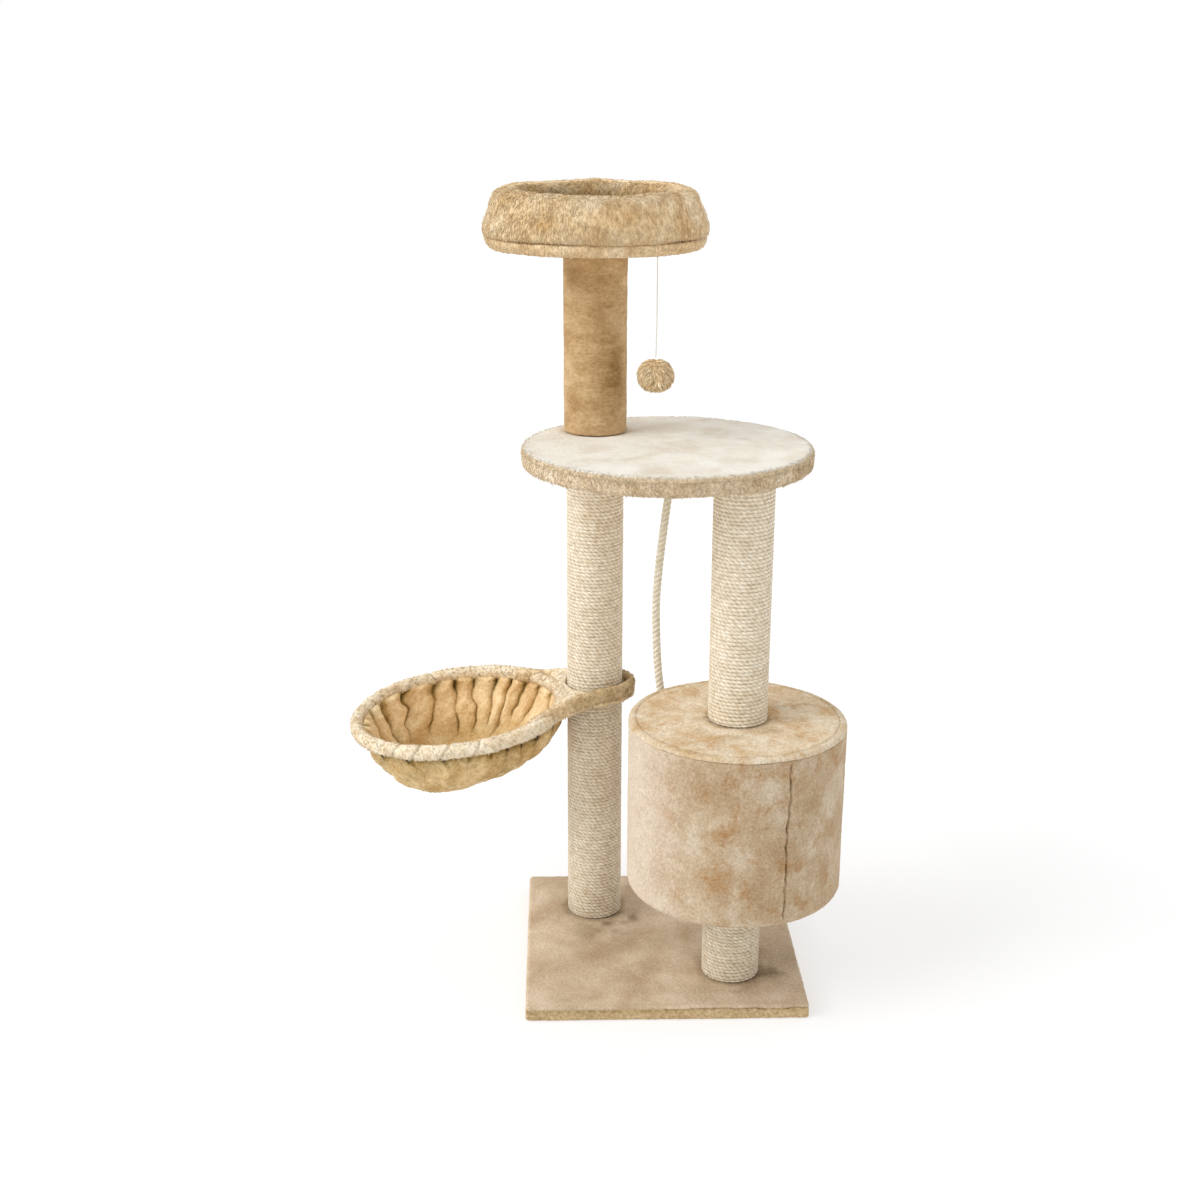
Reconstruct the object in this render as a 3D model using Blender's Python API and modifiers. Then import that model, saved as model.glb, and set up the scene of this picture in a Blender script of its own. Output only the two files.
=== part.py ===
"""Cat tree: plush-covered boards on sisal posts, a drum-shaped house, a wire-framed
hammock, a round bed, a pompom on a string and a play rope.

Metres, +Z up. The origin is the centre of the base's underside, +X to the right,
and +Y towards the back.
"""
import math

import bmesh
import bpy
from mathutils import Matrix, Vector

GAP = 0.0003                     # clearance between touching solids

# Base
BASE_SIDE = 0.402
BASE_TOP = 0.0215
BASE_BOARD = 0.0175              # board thickness
PLUSH = 0.0037                   # thickness of the glued-on plush

# Posts, in plan: the left one at (-POST_X, POST_Y), the right stack mirrored in both
POST_X = 0.0975
POST_Y = 0.0975
CORE_IN, CORE_OUT = 0.0338, 0.0373
SISAL_OUT = 0.0419
UPPER_OUT = 0.0448
PLUG_R = 0.0333
PLUG_T = 0.018
BOLT_HOLE = 0.0045

# Bolts
SHANK_R = 0.0039
HEAD_R = 0.0075
HEAD_T = 0.0045
HEAD_HOLE = 0.0092
BOLT_LENGTH = 0.0355
STUD_LENGTH = 0.058

# Platform
PLATFORM_R = 0.2005
PLATFORM_BOTTOM, PLATFORM_TOP = 0.7575, 0.785
PLATFORM_BOARD_R = 0.1945
PLATFORM_BOARD_T = 0.016
UNDER_PLUSH = 0.003

# Drum-shaped house
DRUM_R = 0.152
DRUM_BOTTOM, DRUM_TOP = 0.170, 0.4195
DRUM_WALL_OUT, DRUM_WALL_IN = 0.1477, 0.1440
DRUM_BOARD_R = 0.1436
DRUM_BOARD_T = 0.012
DRUM_SEAM = 0.4125               # where the side's plush meets the roof's
DOOR_R = 0.085
DOOR_Z = 0.2925
PAD_T = 0.006

# Bed
BED_BOTTOM = 1.042
BED_SEAM = 1.057
BED_BOARD_R = 0.1445
CREST = 1.127

# Hammock, in its own frame: u runs out from the left post, v across, w up
RING_TILT = math.radians(6.0)
RING_HEADING = math.radians(186.0)
RING_PLANE_Z = 0.385             # height of the ring's plane on the post's axis
RING_OUT = 0.206                 # post axis to ring centre
RING_R = 0.1545
RING_WIRE = 0.0024
SLEEVE_R = 0.0088
BAG_DEPTH = 0.111
BAG_FLOOR_R = 0.088
BAG_LEAN = (-0.011, -0.002)      # how far the floor hangs to the side of the ring
BAG_T = 0.003
HOOP_R, HOOP_WIRE, HOOP_Z = 0.0444, 0.0014, 0.393
LOOP_T = 0.0095
LOOP_TALL = 0.030

# Toys
STRING_R = 0.0009
STRING_PLACE = (-0.0165, 0.010)
POMPOM_SIZE = (0.054, 0.054, 0.048)
POMPOM_Z = 0.8785
STRING_KNOT = 0.005              # diameter
ROPE_R = 0.006
ROPE_X, ROPE_Y = 0.0096, 0.040
ROPE_TOP_KNOT = 0.018
ROPE_KNOT_SIZE = (0.022, 0.020, 0.024)

ROUND = 24                       # sides of the posts
WIDE = 40                        # sides of the drum and the platform
RIM = 32                         # sides of the bed and the hammock

LEFT = (-POST_X, POST_Y)
RIGHT = (POST_X, -POST_Y)


def clear_scene():
    for obj in list(bpy.data.objects):
        bpy.data.objects.remove(obj, do_unlink=True)


def new_collection(name):
    collection = bpy.data.collections.new(name)
    bpy.context.scene.collection.children.link(collection)
    return collection


def material(name, color, roughness, metallic=0.0):
    mat = bpy.data.materials.new(name)
    mat.use_nodes = True
    shader = mat.node_tree.nodes["Principled BSDF"]
    shader.inputs["Base Color"].default_value = (*color, 1.0)
    shader.inputs["Roughness"].default_value = roughness
    shader.inputs["Metallic"].default_value = metallic
    mat.diffuse_color = (*color, 1.0)
    return mat


def place(name, data, mat, collection=None):
    obj = bpy.data.objects.new(name, data)
    (collection or PARTS).objects.link(obj)
    if mat is not None:
        data.materials.append(mat)
    return obj


def smooth(obj):
    obj.data.shade_smooth()
    obj.data.set_sharp_from_angle(angle=math.radians(35.0))
    return obj


def turned(name, profile, mat, at=(0.0, 0.0), steps=ROUND, closed=True):
    """Turn (radius, height) points, listed down the outer side, about a vertical axis."""
    mesh = bpy.data.meshes.new(name)
    verts = [(r, 0.0, z) for r, z in profile]
    edges = [(i, i + 1) for i in range(len(verts) - 1)]
    if closed:
        edges.append((len(verts) - 1, 0))
    mesh.from_pydata(verts, edges, [])
    obj = place(name, mesh, mat)
    obj.location = (at[0], at[1], 0.0)
    screw = obj.modifiers.new("turn", "SCREW")
    screw.steps = steps
    screw.render_steps = steps
    screw.use_merge_vertices = True
    screw.merge_threshold = 0.00001
    screw.use_smooth_shade = False
    return obj


def tube(r_in, r_out, low, high):
    """Profile of a plain ring or tube."""
    return [(r_out, high), (r_out, low), (r_in, low), (r_in, high)]


def rounded_disc(r_in, r_out, low, high, radius, bottom_radius=0.0, points=2):
    """Profile of a disc with a hole, with its upper (and lower) outer edge rounded."""
    turns = [math.radians(90.0 - 90.0 * i / points) for i in range(points + 1)]
    outline = [(r_out - radius + radius * math.cos(a), high - radius + radius * math.sin(a))
               for a in turns]
    if bottom_radius > 0.0:
        outline += [(r_out - bottom_radius + bottom_radius * math.sin(a),
                     low + bottom_radius - bottom_radius * math.cos(a)) for a in turns]
    else:
        outline.append((r_out, low))
    return outline + [(r_in, low), (r_in, high)]


def box(name, low, high, mat, collection=None, bevel=0.0):
    mesh = bpy.data.meshes.new(name)
    bm = bmesh.new()
    bmesh.ops.create_cube(bm, size=1.0)
    size = Vector(high) - Vector(low)
    bmesh.ops.scale(bm, vec=size, verts=bm.verts)
    bm.to_mesh(mesh)
    bm.free()
    obj = place(name, mesh, mat, collection)
    obj.location = (Vector(low) + Vector(high)) / 2.0
    if bevel > 0.0:
        rounding = obj.modifiers.new("rounding", "BEVEL")
        rounding.width = bevel
        rounding.segments = 2
    return obj


def ball(name, centre, size, mat, segments=16, rings=10):
    mesh = bpy.data.meshes.new(name)
    bm = bmesh.new()
    bmesh.ops.create_uvsphere(bm, u_segments=segments, v_segments=rings, radius=0.5)
    bmesh.ops.scale(bm, vec=size, verts=bm.verts)
    bm.to_mesh(mesh)
    bm.free()
    obj = place(name, mesh, mat)
    obj.location = centre
    return smooth(obj)


def rod_cutter(name, at, radius, low, high, axis="Z"):
    """Hidden cylinder from low to high along the axis, through the plan point at."""
    mesh = bpy.data.meshes.new(name)
    bm = bmesh.new()
    bmesh.ops.create_cone(bm, cap_ends=True, segments=32 if axis == "Y" else 16,
                          radius1=radius, radius2=radius, depth=high - low)
    bm.to_mesh(mesh)
    bm.free()
    obj = place(name, mesh, None, CUTTERS)
    middle = (low + high) / 2.0
    obj.location = (at[0], at[1], middle) if axis == "Z" else (at[0], middle, at[1])
    obj.rotation_euler = (0.0, 0.0, 0.0) if axis == "Z" else (math.radians(90.0), 0.0, 0.0)
    return hide_guide(obj)


def hide_guide(obj):
    obj.hide_render = True
    obj.display_type = "WIRE"
    return obj


def cut(obj, *cutters):
    for cutter in cutters:
        boolean = obj.modifiers.new("cut", "BOOLEAN")
        boolean.operation = "DIFFERENCE"
        boolean.solver = "EXACT"
        boolean.object = cutter
    return obj


def cord(name, points, radius, mat, cyclic=False, resolution=2):
    """Round tube along points."""
    curve = bpy.data.curves.new(name, "CURVE")
    curve.dimensions = "3D"
    curve.bevel_depth = radius
    curve.bevel_resolution = resolution
    curve.use_fill_caps = not cyclic
    spline = curve.splines.new("POLY")
    spline.points.add(len(points) - 1)
    for point, place_at in zip(spline.points, points):
        point.co = (*place_at, 1.0)
    spline.use_cyclic_u = cyclic
    return place(name, curve, mat)


def route(points, count):
    """Evenly numbered points on a smooth curve through the given points."""
    last = len(points) - 1
    padded = [2 * points[0] - points[1], *points, 2 * points[last] - points[last - 1]]
    out = []
    for i in range(count):
        s = last * i / (count - 1)
        k = min(int(s), last - 1)
        t = s - k
        a, b, c, d = padded[k:k + 4]
        out.append(0.5 * (2 * b + (c - a) * t + (2 * a - 5 * b + 4 * c - d) * t ** 2
                          + (3 * b - a - 3 * c + d) * t ** 3))
    return out


def bolt(name, at, head_face, way, mat):
    """Bolt whose head's outer face is at head_face, its shank running up (+1) or down (-1)."""
    neck = head_face + way * HEAD_T
    tip = neck + way * BOLT_LENGTH
    down = [(0.0, head_face), (HEAD_R, head_face), (HEAD_R, neck), (SHANK_R, neck),
            (SHANK_R, tip), (0.0, tip)]
    profile = down if way < 0 else down[::-1]
    return turned(name, profile, mat, at, steps=12, closed=False)


# --- Sub-parts -----------------------------------------------------------------------

def make_base(wood, plush, steel):
    half = BASE_SIDE / 2.0
    inner = half - PLUSH
    board = box("base_board", (-inner + GAP, -inner + GAP, 0.0),
                (inner - GAP, inner - GAP, BASE_BOARD), wood)
    cover = box("base_cover", (-half, -half, 0.0), (half, half, BASE_TOP), plush, bevel=0.0035)
    pocket = box("base_pocket", (-inner, -inner, -0.01), (inner, inner, BASE_BOARD + GAP),
                 None, CUTTERS)
    cut(cover, hide_guide(pocket))
    for side, at in (("left", LEFT), ("right", RIGHT)):
        hole = rod_cutter(f"base_hole_{side}", at, BOLT_HOLE, -0.01, 0.04)
        recess = rod_cutter(f"base_recess_{side}", at, HEAD_HOLE, -0.01, 0.007)
        cut(board, hole, recess)
        cut(cover, hole)
        bolt(f"base_bolt_{side}", at, 0.0022, 1, steel)


def make_post(name, at, low, high, skin_out, materials):
    """Cardboard tube with a plug in each end and a sisal or plush skin."""
    board, skin, wood = materials
    skin_name = "cover" if skin_out == UPPER_OUT else "sisal"
    turned(f"{name}_core", tube(CORE_IN, CORE_OUT, low, high), board, at)
    turned(f"{name}_{skin_name}", tube(CORE_OUT + GAP, skin_out, low, high), skin, at)
    turned(f"{name}_plug_bottom", tube(BOLT_HOLE, PLUG_R, low, low + PLUG_T), wood, at, steps=16)
    turned(f"{name}_plug_top", tube(BOLT_HOLE, PLUG_R, high - PLUG_T, high), wood, at, steps=16)


def make_platform(wood, cream, plush, steel):
    board_low = PLATFORM_BOTTOM + UNDER_PLUSH + GAP
    board_high = board_low + PLATFORM_BOARD_T
    board = turned("platform_board", [(0.0, board_high), (PLATFORM_BOARD_R, board_high),
                                      (PLATFORM_BOARD_R, board_low), (0.0, board_low)],
                   wood, steps=WIDE, closed=False)
    r = PLATFORM_R
    edge = turned("platform_edge_cover",
                  [(r - 0.0005, board_high), (r, board_high - 0.002), (r, PLATFORM_BOTTOM + 0.006),
                   (r - 0.002, PLATFORM_BOTTOM + 0.002), (r - 0.006, PLATFORM_BOTTOM),
                   (0.0, PLATFORM_BOTTOM), (0.0, board_low - GAP),
                   (PLATFORM_BOARD_R + GAP, board_low - GAP), (PLATFORM_BOARD_R + GAP, board_high)],
                  plush, steps=WIDE, closed=False)
    edge.data.edges.add(1)
    edge.data.edges[-1].vertices = (8, 0)
    top = turned("platform_top_cover", [(0.0, PLATFORM_TOP)]
                 + rounded_disc(0.0, r, board_high + GAP, PLATFORM_TOP, 0.0065, points=4)[:-2]
                 + [(0.0, board_high + GAP)], cream, steps=WIDE, closed=False)
    left_hole = rod_cutter("platform_hole_left", LEFT, BOLT_HOLE, 0.74, 0.80)
    right_hole = rod_cutter("platform_hole_right", RIGHT, BOLT_HOLE, 0.74, board_high + 0.01)
    recess = rod_cutter("platform_recess", RIGHT, HEAD_HOLE, board_high - 0.006,
                        board_high + 0.01)
    cut(board, left_hole, right_hole, recess)
    cut(edge, left_hole, rod_cutter("platform_cover_hole", RIGHT, BOLT_HOLE, 0.74, board_low))
    cut(top, left_hole)
    bolt("platform_bolt", RIGHT, board_high - 0.001, -1, steel)
    middle = (PLATFORM_BOTTOM + PLATFORM_TOP) / 2.0
    turned("post_stud", [(0.0, middle + STUD_LENGTH / 2), (SHANK_R, middle + STUD_LENGTH / 2),
                         (SHANK_R, middle - STUD_LENGTH / 2), (0.0, middle - STUD_LENGTH / 2)],
           steel, LEFT, steps=12, closed=False)


def make_drum(wood, wall_mat, plush, lining, steel):
    floor_low = DRUM_BOTTOM + PLUSH + GAP
    floor_high = floor_low + DRUM_BOARD_T
    roof_high = DRUM_TOP - PLUSH - GAP
    roof_low = roof_high - DRUM_BOARD_T
    turned("drum_bottom_cover",
           rounded_disc(BOLT_HOLE, 0.1505, DRUM_BOTTOM, DRUM_BOTTOM + PLUSH, 0.0012, 0.0022),
           plush, RIGHT, WIDE)
    turned("drum_floor_board", tube(BOLT_HOLE, DRUM_BOARD_R, floor_low, floor_high),
           wood, RIGHT, WIDE)
    turned("drum_roof_board", tube(BOLT_HOLE, DRUM_BOARD_R, roof_low, roof_high),
           wood, RIGHT, WIDE)
    pad_low = floor_high + HEAD_T + GAP
    turned("drum_floor_pad", [(0.0, pad_low + PAD_T)]
           + rounded_disc(0.0, 0.1425, floor_high + GAP, pad_low + PAD_T, 0.003, 0.0)[:-2]
           + [(HEAD_HOLE, floor_high + GAP), (HEAD_HOLE, pad_low), (0.0, pad_low)],
           lining, RIGHT, WIDE, closed=False)
    wall = turned("drum_wall", tube(DRUM_WALL_IN, DRUM_WALL_OUT, floor_low, roof_high),
                  wall_mat, RIGHT, WIDE)
    side = turned("drum_side_cover", tube(DRUM_WALL_OUT + GAP, DRUM_R, floor_low, DRUM_SEAM),
                  plush, RIGHT, WIDE)
    inner_r = DRUM_WALL_OUT + GAP
    skirt = DRUM_SEAM + GAP
    turned("drum_top_cover", [(0.1505 - 0.003, DRUM_TOP), (0.1510, DRUM_TOP - 0.0015),
                              (DRUM_R, DRUM_TOP - 0.004), (DRUM_R, skirt), (inner_r, skirt),
                              (inner_r, roof_high + GAP), (BOLT_HOLE, roof_high + GAP),
                              (BOLT_HOLE, DRUM_TOP)], plush, RIGHT, WIDE)
    door = rod_cutter("drum_door", (RIGHT[0], DOOR_Z), DOOR_R, RIGHT[1] + 0.10,
                      RIGHT[1] + 0.20, axis="Y")
    cut(wall, door)
    cut(side, door)
    bolt("drum_floor_bolt", RIGHT, floor_high + HEAD_T + GAP / 2, -1, steel)
    bolt("drum_roof_bolt", RIGHT, roof_low - HEAD_T - GAP, 1, steel)


def make_bed(wood, plush, lining, steel):
    board_low = BED_BOTTOM + UNDER_PLUSH + GAP
    board_high = BED_SEAM - GAP
    turned("bed_board", tube(BOLT_HOLE, BED_BOARD_R, board_low, board_high), wood, LEFT, RIM)
    turned("bed_base_cover",
           [(0.1520, BED_SEAM - GAP), (0.1525, 1.0500), (0.1505, 1.0450), (0.1465, BED_BOTTOM),
            (BOLT_HOLE, BED_BOTTOM), (BOLT_HOLE, board_low - GAP),
            (BED_BOARD_R + GAP, board_low - GAP), (BED_BOARD_R + GAP, BED_SEAM - GAP)],
           plush, LEFT, RIM)
    turned("bed_bolster",
           [(0.118, CREST), (0.130, CREST - 0.0015), (0.1405, 1.118), (0.1455, 1.106),
            (0.1515, 1.088), (0.1570, 1.074), (0.1570, 1.066), (0.1525, BED_SEAM),
            (0.108, BED_SEAM), (0.100, 1.068), (0.096, 1.085), (0.0975, 1.106),
            (0.105, 1.121)], plush, LEFT, RIM)
    head_room = board_high + HEAD_T + 2 * GAP
    turned("bed_cushion", [(0.0, 1.077), (0.050, 1.0765), (0.078, 1.073), (0.091, 1.066),
                           (0.0925, 1.060), (0.089, BED_SEAM), (HEAD_HOLE, BED_SEAM),
                           (HEAD_HOLE, head_room), (0.0, head_room)],
           lining, LEFT, RIM, closed=False)
    bolt("bed_bolt", LEFT, board_high + HEAD_T + GAP, -1, steel)


def hammock_frame():
    """The ring plane's frame at the ring's centre, as a matrix with columns u, v, w."""
    turn = Matrix.Rotation(RING_HEADING, 4, "Z")
    dip = Matrix.Rotation(RING_TILT, 4, "Y")
    on_axis = Matrix.Translation((LEFT[0], LEFT[1], RING_PLANE_Z))
    return on_axis @ turn @ dip @ Matrix.Translation((RING_OUT, 0.0, 0.0))


def make_hammock_rim(frame, plush, steel):
    points = [frame @ Vector((RING_R * math.cos(a), RING_R * math.sin(a), 0.0))
              for a in (2 * math.pi * i / RIM for i in range(RIM))]
    cord("hammock_ring", points, RING_WIRE, steel, cyclic=True, resolution=1)
    slot = math.radians(20.0)
    span = 2 * (math.pi - slot)
    outer = [slot + span * i / 7 for i in range(8)]
    section = [(RING_R + SLEEVE_R * math.sin(a), -SLEEVE_R * math.cos(a)) for a in outer]
    bore = RING_WIRE + 0.0008
    section += [(RING_R + bore * math.sin(a), -bore * math.cos(a))
                for a in (slot + span * i / 4 for i in range(4, -1, -1))]
    sleeve = turned("hammock_rim_sleeve", section[::-1], plush, steps=RIM)
    sleeve.matrix_world = frame


def make_hammock_bag(frame, plush):
    """Round bag turned about an axis that leans, so its floor hangs to one side."""
    top = -SLEEVE_R - 0.0006
    r = RING_R - 0.002
    outer = [(r, top), (r - 0.004, -0.035), (r - 0.020, -0.068), (r - 0.043, -0.095),
             (BAG_FLOOR_R, -BAG_DEPTH + 0.001), (BAG_FLOOR_R - 0.02, -BAG_DEPTH)]
    inner = [(max(x - BAG_T, 0.0), z + (BAG_T if i > 2 else 0.0))
             for i, (x, z) in enumerate(outer)]
    profile = outer + [(0.0, -BAG_DEPTH)]
    profile = profile + [(0.0, -BAG_DEPTH + BAG_T)] + inner[::-1]
    bag = turned("hammock_bag", profile, plush, steps=RIM, closed=False)
    bag.data.edges.add(1)
    bag.data.edges[-1].vertices = (len(profile) - 1, 0)
    depsgraph = bpy.context.evaluated_depsgraph_get()
    mesh = bpy.data.meshes.new_from_object(bag.evaluated_get(depsgraph))
    bag.modifiers.clear()
    lean = Matrix.Identity(4)
    drop = Vector((BAG_LEAN[0], BAG_LEAN[1], -BAG_DEPTH * math.cos(RING_TILT))) / -BAG_DEPTH
    local = frame.to_3x3().inverted() @ drop
    for row in range(3):
        lean[row][2] = local[row]
    mesh.transform(frame @ lean)
    bag.data = mesh


def make_hammock_loop(plush, steel):
    """Plush loop round the post, open towards the ring, and the hoop that grips the post."""
    hoop = [Vector((LEFT[0] + HOOP_R * math.cos(a), LEFT[1] + HOOP_R * math.sin(a), HOOP_Z))
            for a in (2 * math.pi * i / ROUND for i in range(ROUND))]
    cord("hammock_hoop", hoop, HOOP_WIRE, steel, cyclic=True, resolution=1)
    middle = 0.0500 + LOOP_T / 2
    bend = math.radians(96.0)
    arc = [Vector((middle * math.cos(a), middle * math.sin(a)))
           for a in (math.pi - bend + 2 * bend * i / 22 for i in range(23))]
    arms = Vector((0.048, 0.0560))
    path = [Vector((arms.x, arms.y)), *arc, Vector((arms.x, -arms.y))]
    outline = []
    for side in (1, -1):
        row = []
        for i, point in enumerate(path):
            ahead = path[min(i + 1, len(path) - 1)]
            behind = path[max(i - 1, 0)]
            along = (ahead - behind).normalized()
            row.append(point + side * LOOP_T / 2 * Vector((along.y, -along.x)))
        outline += row if side > 0 else row[::-1]
    curve = bpy.data.curves.new("hammock_loop_sleeve", "CURVE")
    curve.dimensions = "2D"
    curve.fill_mode = "BOTH"
    curve.extrude = LOOP_TALL / 2
    spline = curve.splines.new("POLY")
    spline.points.add(len(outline) - 1)
    for spot, point in zip(spline.points, outline):
        spot.co = (point.x, point.y, 0.0, 1.0)
    spline.use_cyclic_u = True
    loop = place("hammock_loop_sleeve", curve, plush)
    lift = Matrix.Rotation(math.radians(-7.0), 4, "Y") @ Matrix.Rotation(math.radians(-6.0), 4, "X")
    loop.matrix_world = (Matrix.Translation((LEFT[0], LEFT[1], HOOP_Z)) @ lift
                         @ Matrix.Rotation(RING_HEADING, 4, "Z"))


def make_toys(plush, thread, sisal):
    x, y = STRING_PLACE
    top = BED_BOTTOM - GAP
    ball("pompom_knot", (x, y, top - STRING_KNOT / 2), [STRING_KNOT] * 3, thread, 10, 6)
    pompom_top = POMPOM_Z + POMPOM_SIZE[2] / 2
    string = [Vector((x, y, top - STRING_KNOT - GAP)), Vector((x + 0.0003, y, 0.985)),
              Vector((x + 0.0002, y, 0.940)), Vector((x - 0.0006, y, pompom_top + GAP))]
    cord("pompom_string", route(string, 28), STRING_R, thread)
    ball("pompom", (x - 0.0006, y, POMPOM_Z), POMPOM_SIZE, plush, 16, 10)

    top = PLATFORM_BOTTOM - GAP
    ball("play_rope_top_knot", (ROPE_X, ROPE_Y, top - ROPE_TOP_KNOT / 2), [ROPE_TOP_KNOT] * 3,
         sisal, 12, 8)
    rope = [Vector((px, ROPE_Y, pz)) for px, pz in
            ((ROPE_X, top - ROPE_TOP_KNOT - 3 * GAP), (0.0088, 0.727), (0.0045, 0.697),
             (-0.0036, 0.628), (-0.0086, 0.572), (-0.0100, 0.530), (-0.0085, 0.480),
             (-0.0058, 0.440), (-0.0018, 0.408), (0.0022, 0.3825))]
    cord("play_rope", route(rope, 22), ROPE_R, sisal)
    end = rope[-1] + Vector((0.0006, 0.0, -GAP - ROPE_KNOT_SIZE[2] / 2))
    ball("play_rope_knot", end, ROPE_KNOT_SIZE, sisal, 14, 8)


def build():
    wood = material("chipboard", (0.50, 0.36, 0.20), 0.8)
    card = material("cardboard", (0.42, 0.30, 0.18), 0.85)
    plush = material("tan plush", (0.62, 0.45, 0.27), 0.95)
    cream = material("cream plush", (0.80, 0.74, 0.63), 0.95)
    lining = material("orange-tan plush", (0.66, 0.43, 0.20), 0.95)
    dark = material("dark tan plush", (0.48, 0.30, 0.14), 0.95)
    sisal = material("sisal", (0.74, 0.66, 0.50), 0.9)
    thread = material("white thread", (0.85, 0.85, 0.82), 0.7)
    steel = material("zinc-plated steel", (0.60, 0.61, 0.62), 0.35, 1.0)

    make_base(wood, plush, steel)
    post_materials = (card, sisal, wood)
    make_post("left_post", LEFT, BASE_TOP + GAP, PLATFORM_BOTTOM - GAP, SISAL_OUT,
              post_materials)
    make_post("short_post", RIGHT, BASE_TOP + GAP, DRUM_BOTTOM - GAP, SISAL_OUT, post_materials)
    make_post("right_post", RIGHT, DRUM_TOP + GAP, PLATFORM_BOTTOM - GAP, SISAL_OUT,
              post_materials)
    make_post("upper_post", LEFT, PLATFORM_TOP + GAP, BED_BOTTOM - GAP, UPPER_OUT,
              (card, dark, wood))
    make_platform(wood, cream, plush, steel)
    make_drum(wood, card, plush, lining, steel)
    make_bed(wood, plush, lining, steel)
    frame = hammock_frame()
    make_hammock_rim(frame, plush, steel)
    make_hammock_bag(frame, lining)
    make_hammock_loop(plush, steel)
    make_toys(plush, thread, sisal)


clear_scene()
PARTS = new_collection("cat_tree")
CUTTERS = new_collection("cutters")
build()
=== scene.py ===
"""Cat tree: camera, light, materials and the visible pieces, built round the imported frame.

Metres, +Z up, in the frame's own coordinates. A piece made here that stands for a CAD
solid takes its place and size from that solid's box.
"""
import itertools
import math

import bpy
import numpy as np
from mathutils import Matrix, Vector


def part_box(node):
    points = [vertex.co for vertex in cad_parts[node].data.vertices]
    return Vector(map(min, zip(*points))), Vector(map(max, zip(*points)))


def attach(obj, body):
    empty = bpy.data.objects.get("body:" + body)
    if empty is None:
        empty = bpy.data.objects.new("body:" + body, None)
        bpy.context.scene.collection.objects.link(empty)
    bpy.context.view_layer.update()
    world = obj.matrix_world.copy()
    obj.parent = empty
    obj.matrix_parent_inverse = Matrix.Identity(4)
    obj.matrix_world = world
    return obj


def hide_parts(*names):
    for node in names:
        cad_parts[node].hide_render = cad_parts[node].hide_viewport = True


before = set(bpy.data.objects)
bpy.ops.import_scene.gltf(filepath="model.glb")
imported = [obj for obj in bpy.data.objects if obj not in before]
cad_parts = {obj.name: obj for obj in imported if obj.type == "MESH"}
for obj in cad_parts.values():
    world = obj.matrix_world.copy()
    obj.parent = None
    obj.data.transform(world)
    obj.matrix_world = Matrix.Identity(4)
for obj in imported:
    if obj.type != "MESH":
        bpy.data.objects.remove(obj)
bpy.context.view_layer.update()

TURN = 2.0 * math.pi
STEP = 0.0016                    # spacing of the points on plush surfaces
AMBIENT = 0.84                   # light from all round, where the backdrop shows as 1


# --- Fields of smooth noise ---

LATTICE = np.random.RandomState(11).rand(64, 64, 64).astype(np.float32)


def noise(points, size, seed=0):
    """Smooth random values from -1 to 1 at the points; size is the cell, one or three lengths."""
    scaled = points / np.asarray(size, float) + 19.37 * seed
    cell = np.floor(scaled).astype(int)
    part = scaled - cell
    part = part * part * (3.0 - 2.0 * part)
    weight = (1.0 - part, part)
    total = 0.0
    for i, j, k in itertools.product((0, 1), repeat=3):
        value = LATTICE[(cell[..., 0] + i) & 63, (cell[..., 1] + j) & 63, (cell[..., 2] + k) & 63]
        total = total + weight[i][..., 0] * weight[j][..., 1] * weight[k][..., 2] * value
    return 2.0 * total - 1.0


def bump(distance, width):
    """1 at no distance, falling smoothly to 0 over about twice the width."""
    return np.exp(-(distance / width) ** 2)


def direction(vectors):
    """The vectors with a length of 1."""
    return vectors / np.linalg.norm(vectors, axis=-1, keepdims=True)


def beside(distance, width):
    """1 at a border and inside it, falling smoothly to 0 outside."""
    return bump(np.maximum(distance, 0.0), width)


def held(value):
    """The value, held between 0 and 1."""
    return np.clip(value, 0.0, 1.0)


# --- Grids of points ---
# Rows run from the top's centre outwards, down the outer side and back in below, and
# columns run anticlockwise, so that the cross product of the two points outwards.

def resample(grid, count, axis=0, ring=False):
    """Catmull-Rom points through the grid's, evenly numbered along one axis."""
    n = grid.shape[axis]
    place = np.linspace(0, n, count, endpoint=False) if ring else np.linspace(0, n - 1, count)
    first = np.minimum(np.floor(place).astype(int), n - 1 if ring else n - 2)
    shape = [1] * grid.ndim
    shape[axis] = count
    t = (place - first).reshape(shape)

    def at(offset):
        index = first + offset
        index = index % n if ring else np.clip(index, 0, n - 1)
        return np.take(grid, index, axis)

    a, b, c, d = at(-1), at(0), at(1), at(2)
    return 0.5 * (2 * b + (c - a) * t + (2 * a - 5 * b + 4 * c - d) * t ** 2
                  + (3 * b - a - 3 * c + d) * t ** 3)


def reach_along(path):
    """Distance of each point from the path's start."""
    return np.append(0.0, np.cumsum(np.linalg.norm(np.diff(path, axis=0), axis=1)))


def outline(points, step=STEP, ring=False, smooth=True):
    """Evenly spaced points along a profile."""
    points = np.array(points, float)
    if smooth:
        points = resample(points, 12 * len(points), ring=ring)
    if ring:
        points = np.vstack([points, points[:1]])
    reach = reach_along(points)
    count = int(math.ceil(reach[-1] / step)) + 1
    spots = np.linspace(0.0, reach[-1], count)
    if ring:
        spots = spots[:-1]
    return np.stack([np.interp(spots, reach, points[:, k]) for k in range(points.shape[1])], -1)


def around(radius):
    """Number of columns that puts them a step apart at that radius."""
    return 4 * int(round(TURN * radius / STEP / 4))


def steps_round(count, start=0.0):
    """Angles evenly round a turn."""
    return start + TURN * np.arange(count) / count


def xyz(x, y, z):
    """Points with these coordinates, each a number or an array."""
    return np.stack(np.broadcast_arrays(x, y, z), -1)


def polar(r, angle, z, at=(0.0, 0.0)):
    """Points at a distance and an angle about a vertical axis, and at a height."""
    return xyz(at[0] + r * np.cos(angle), at[1] + r * np.sin(angle), z)


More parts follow.
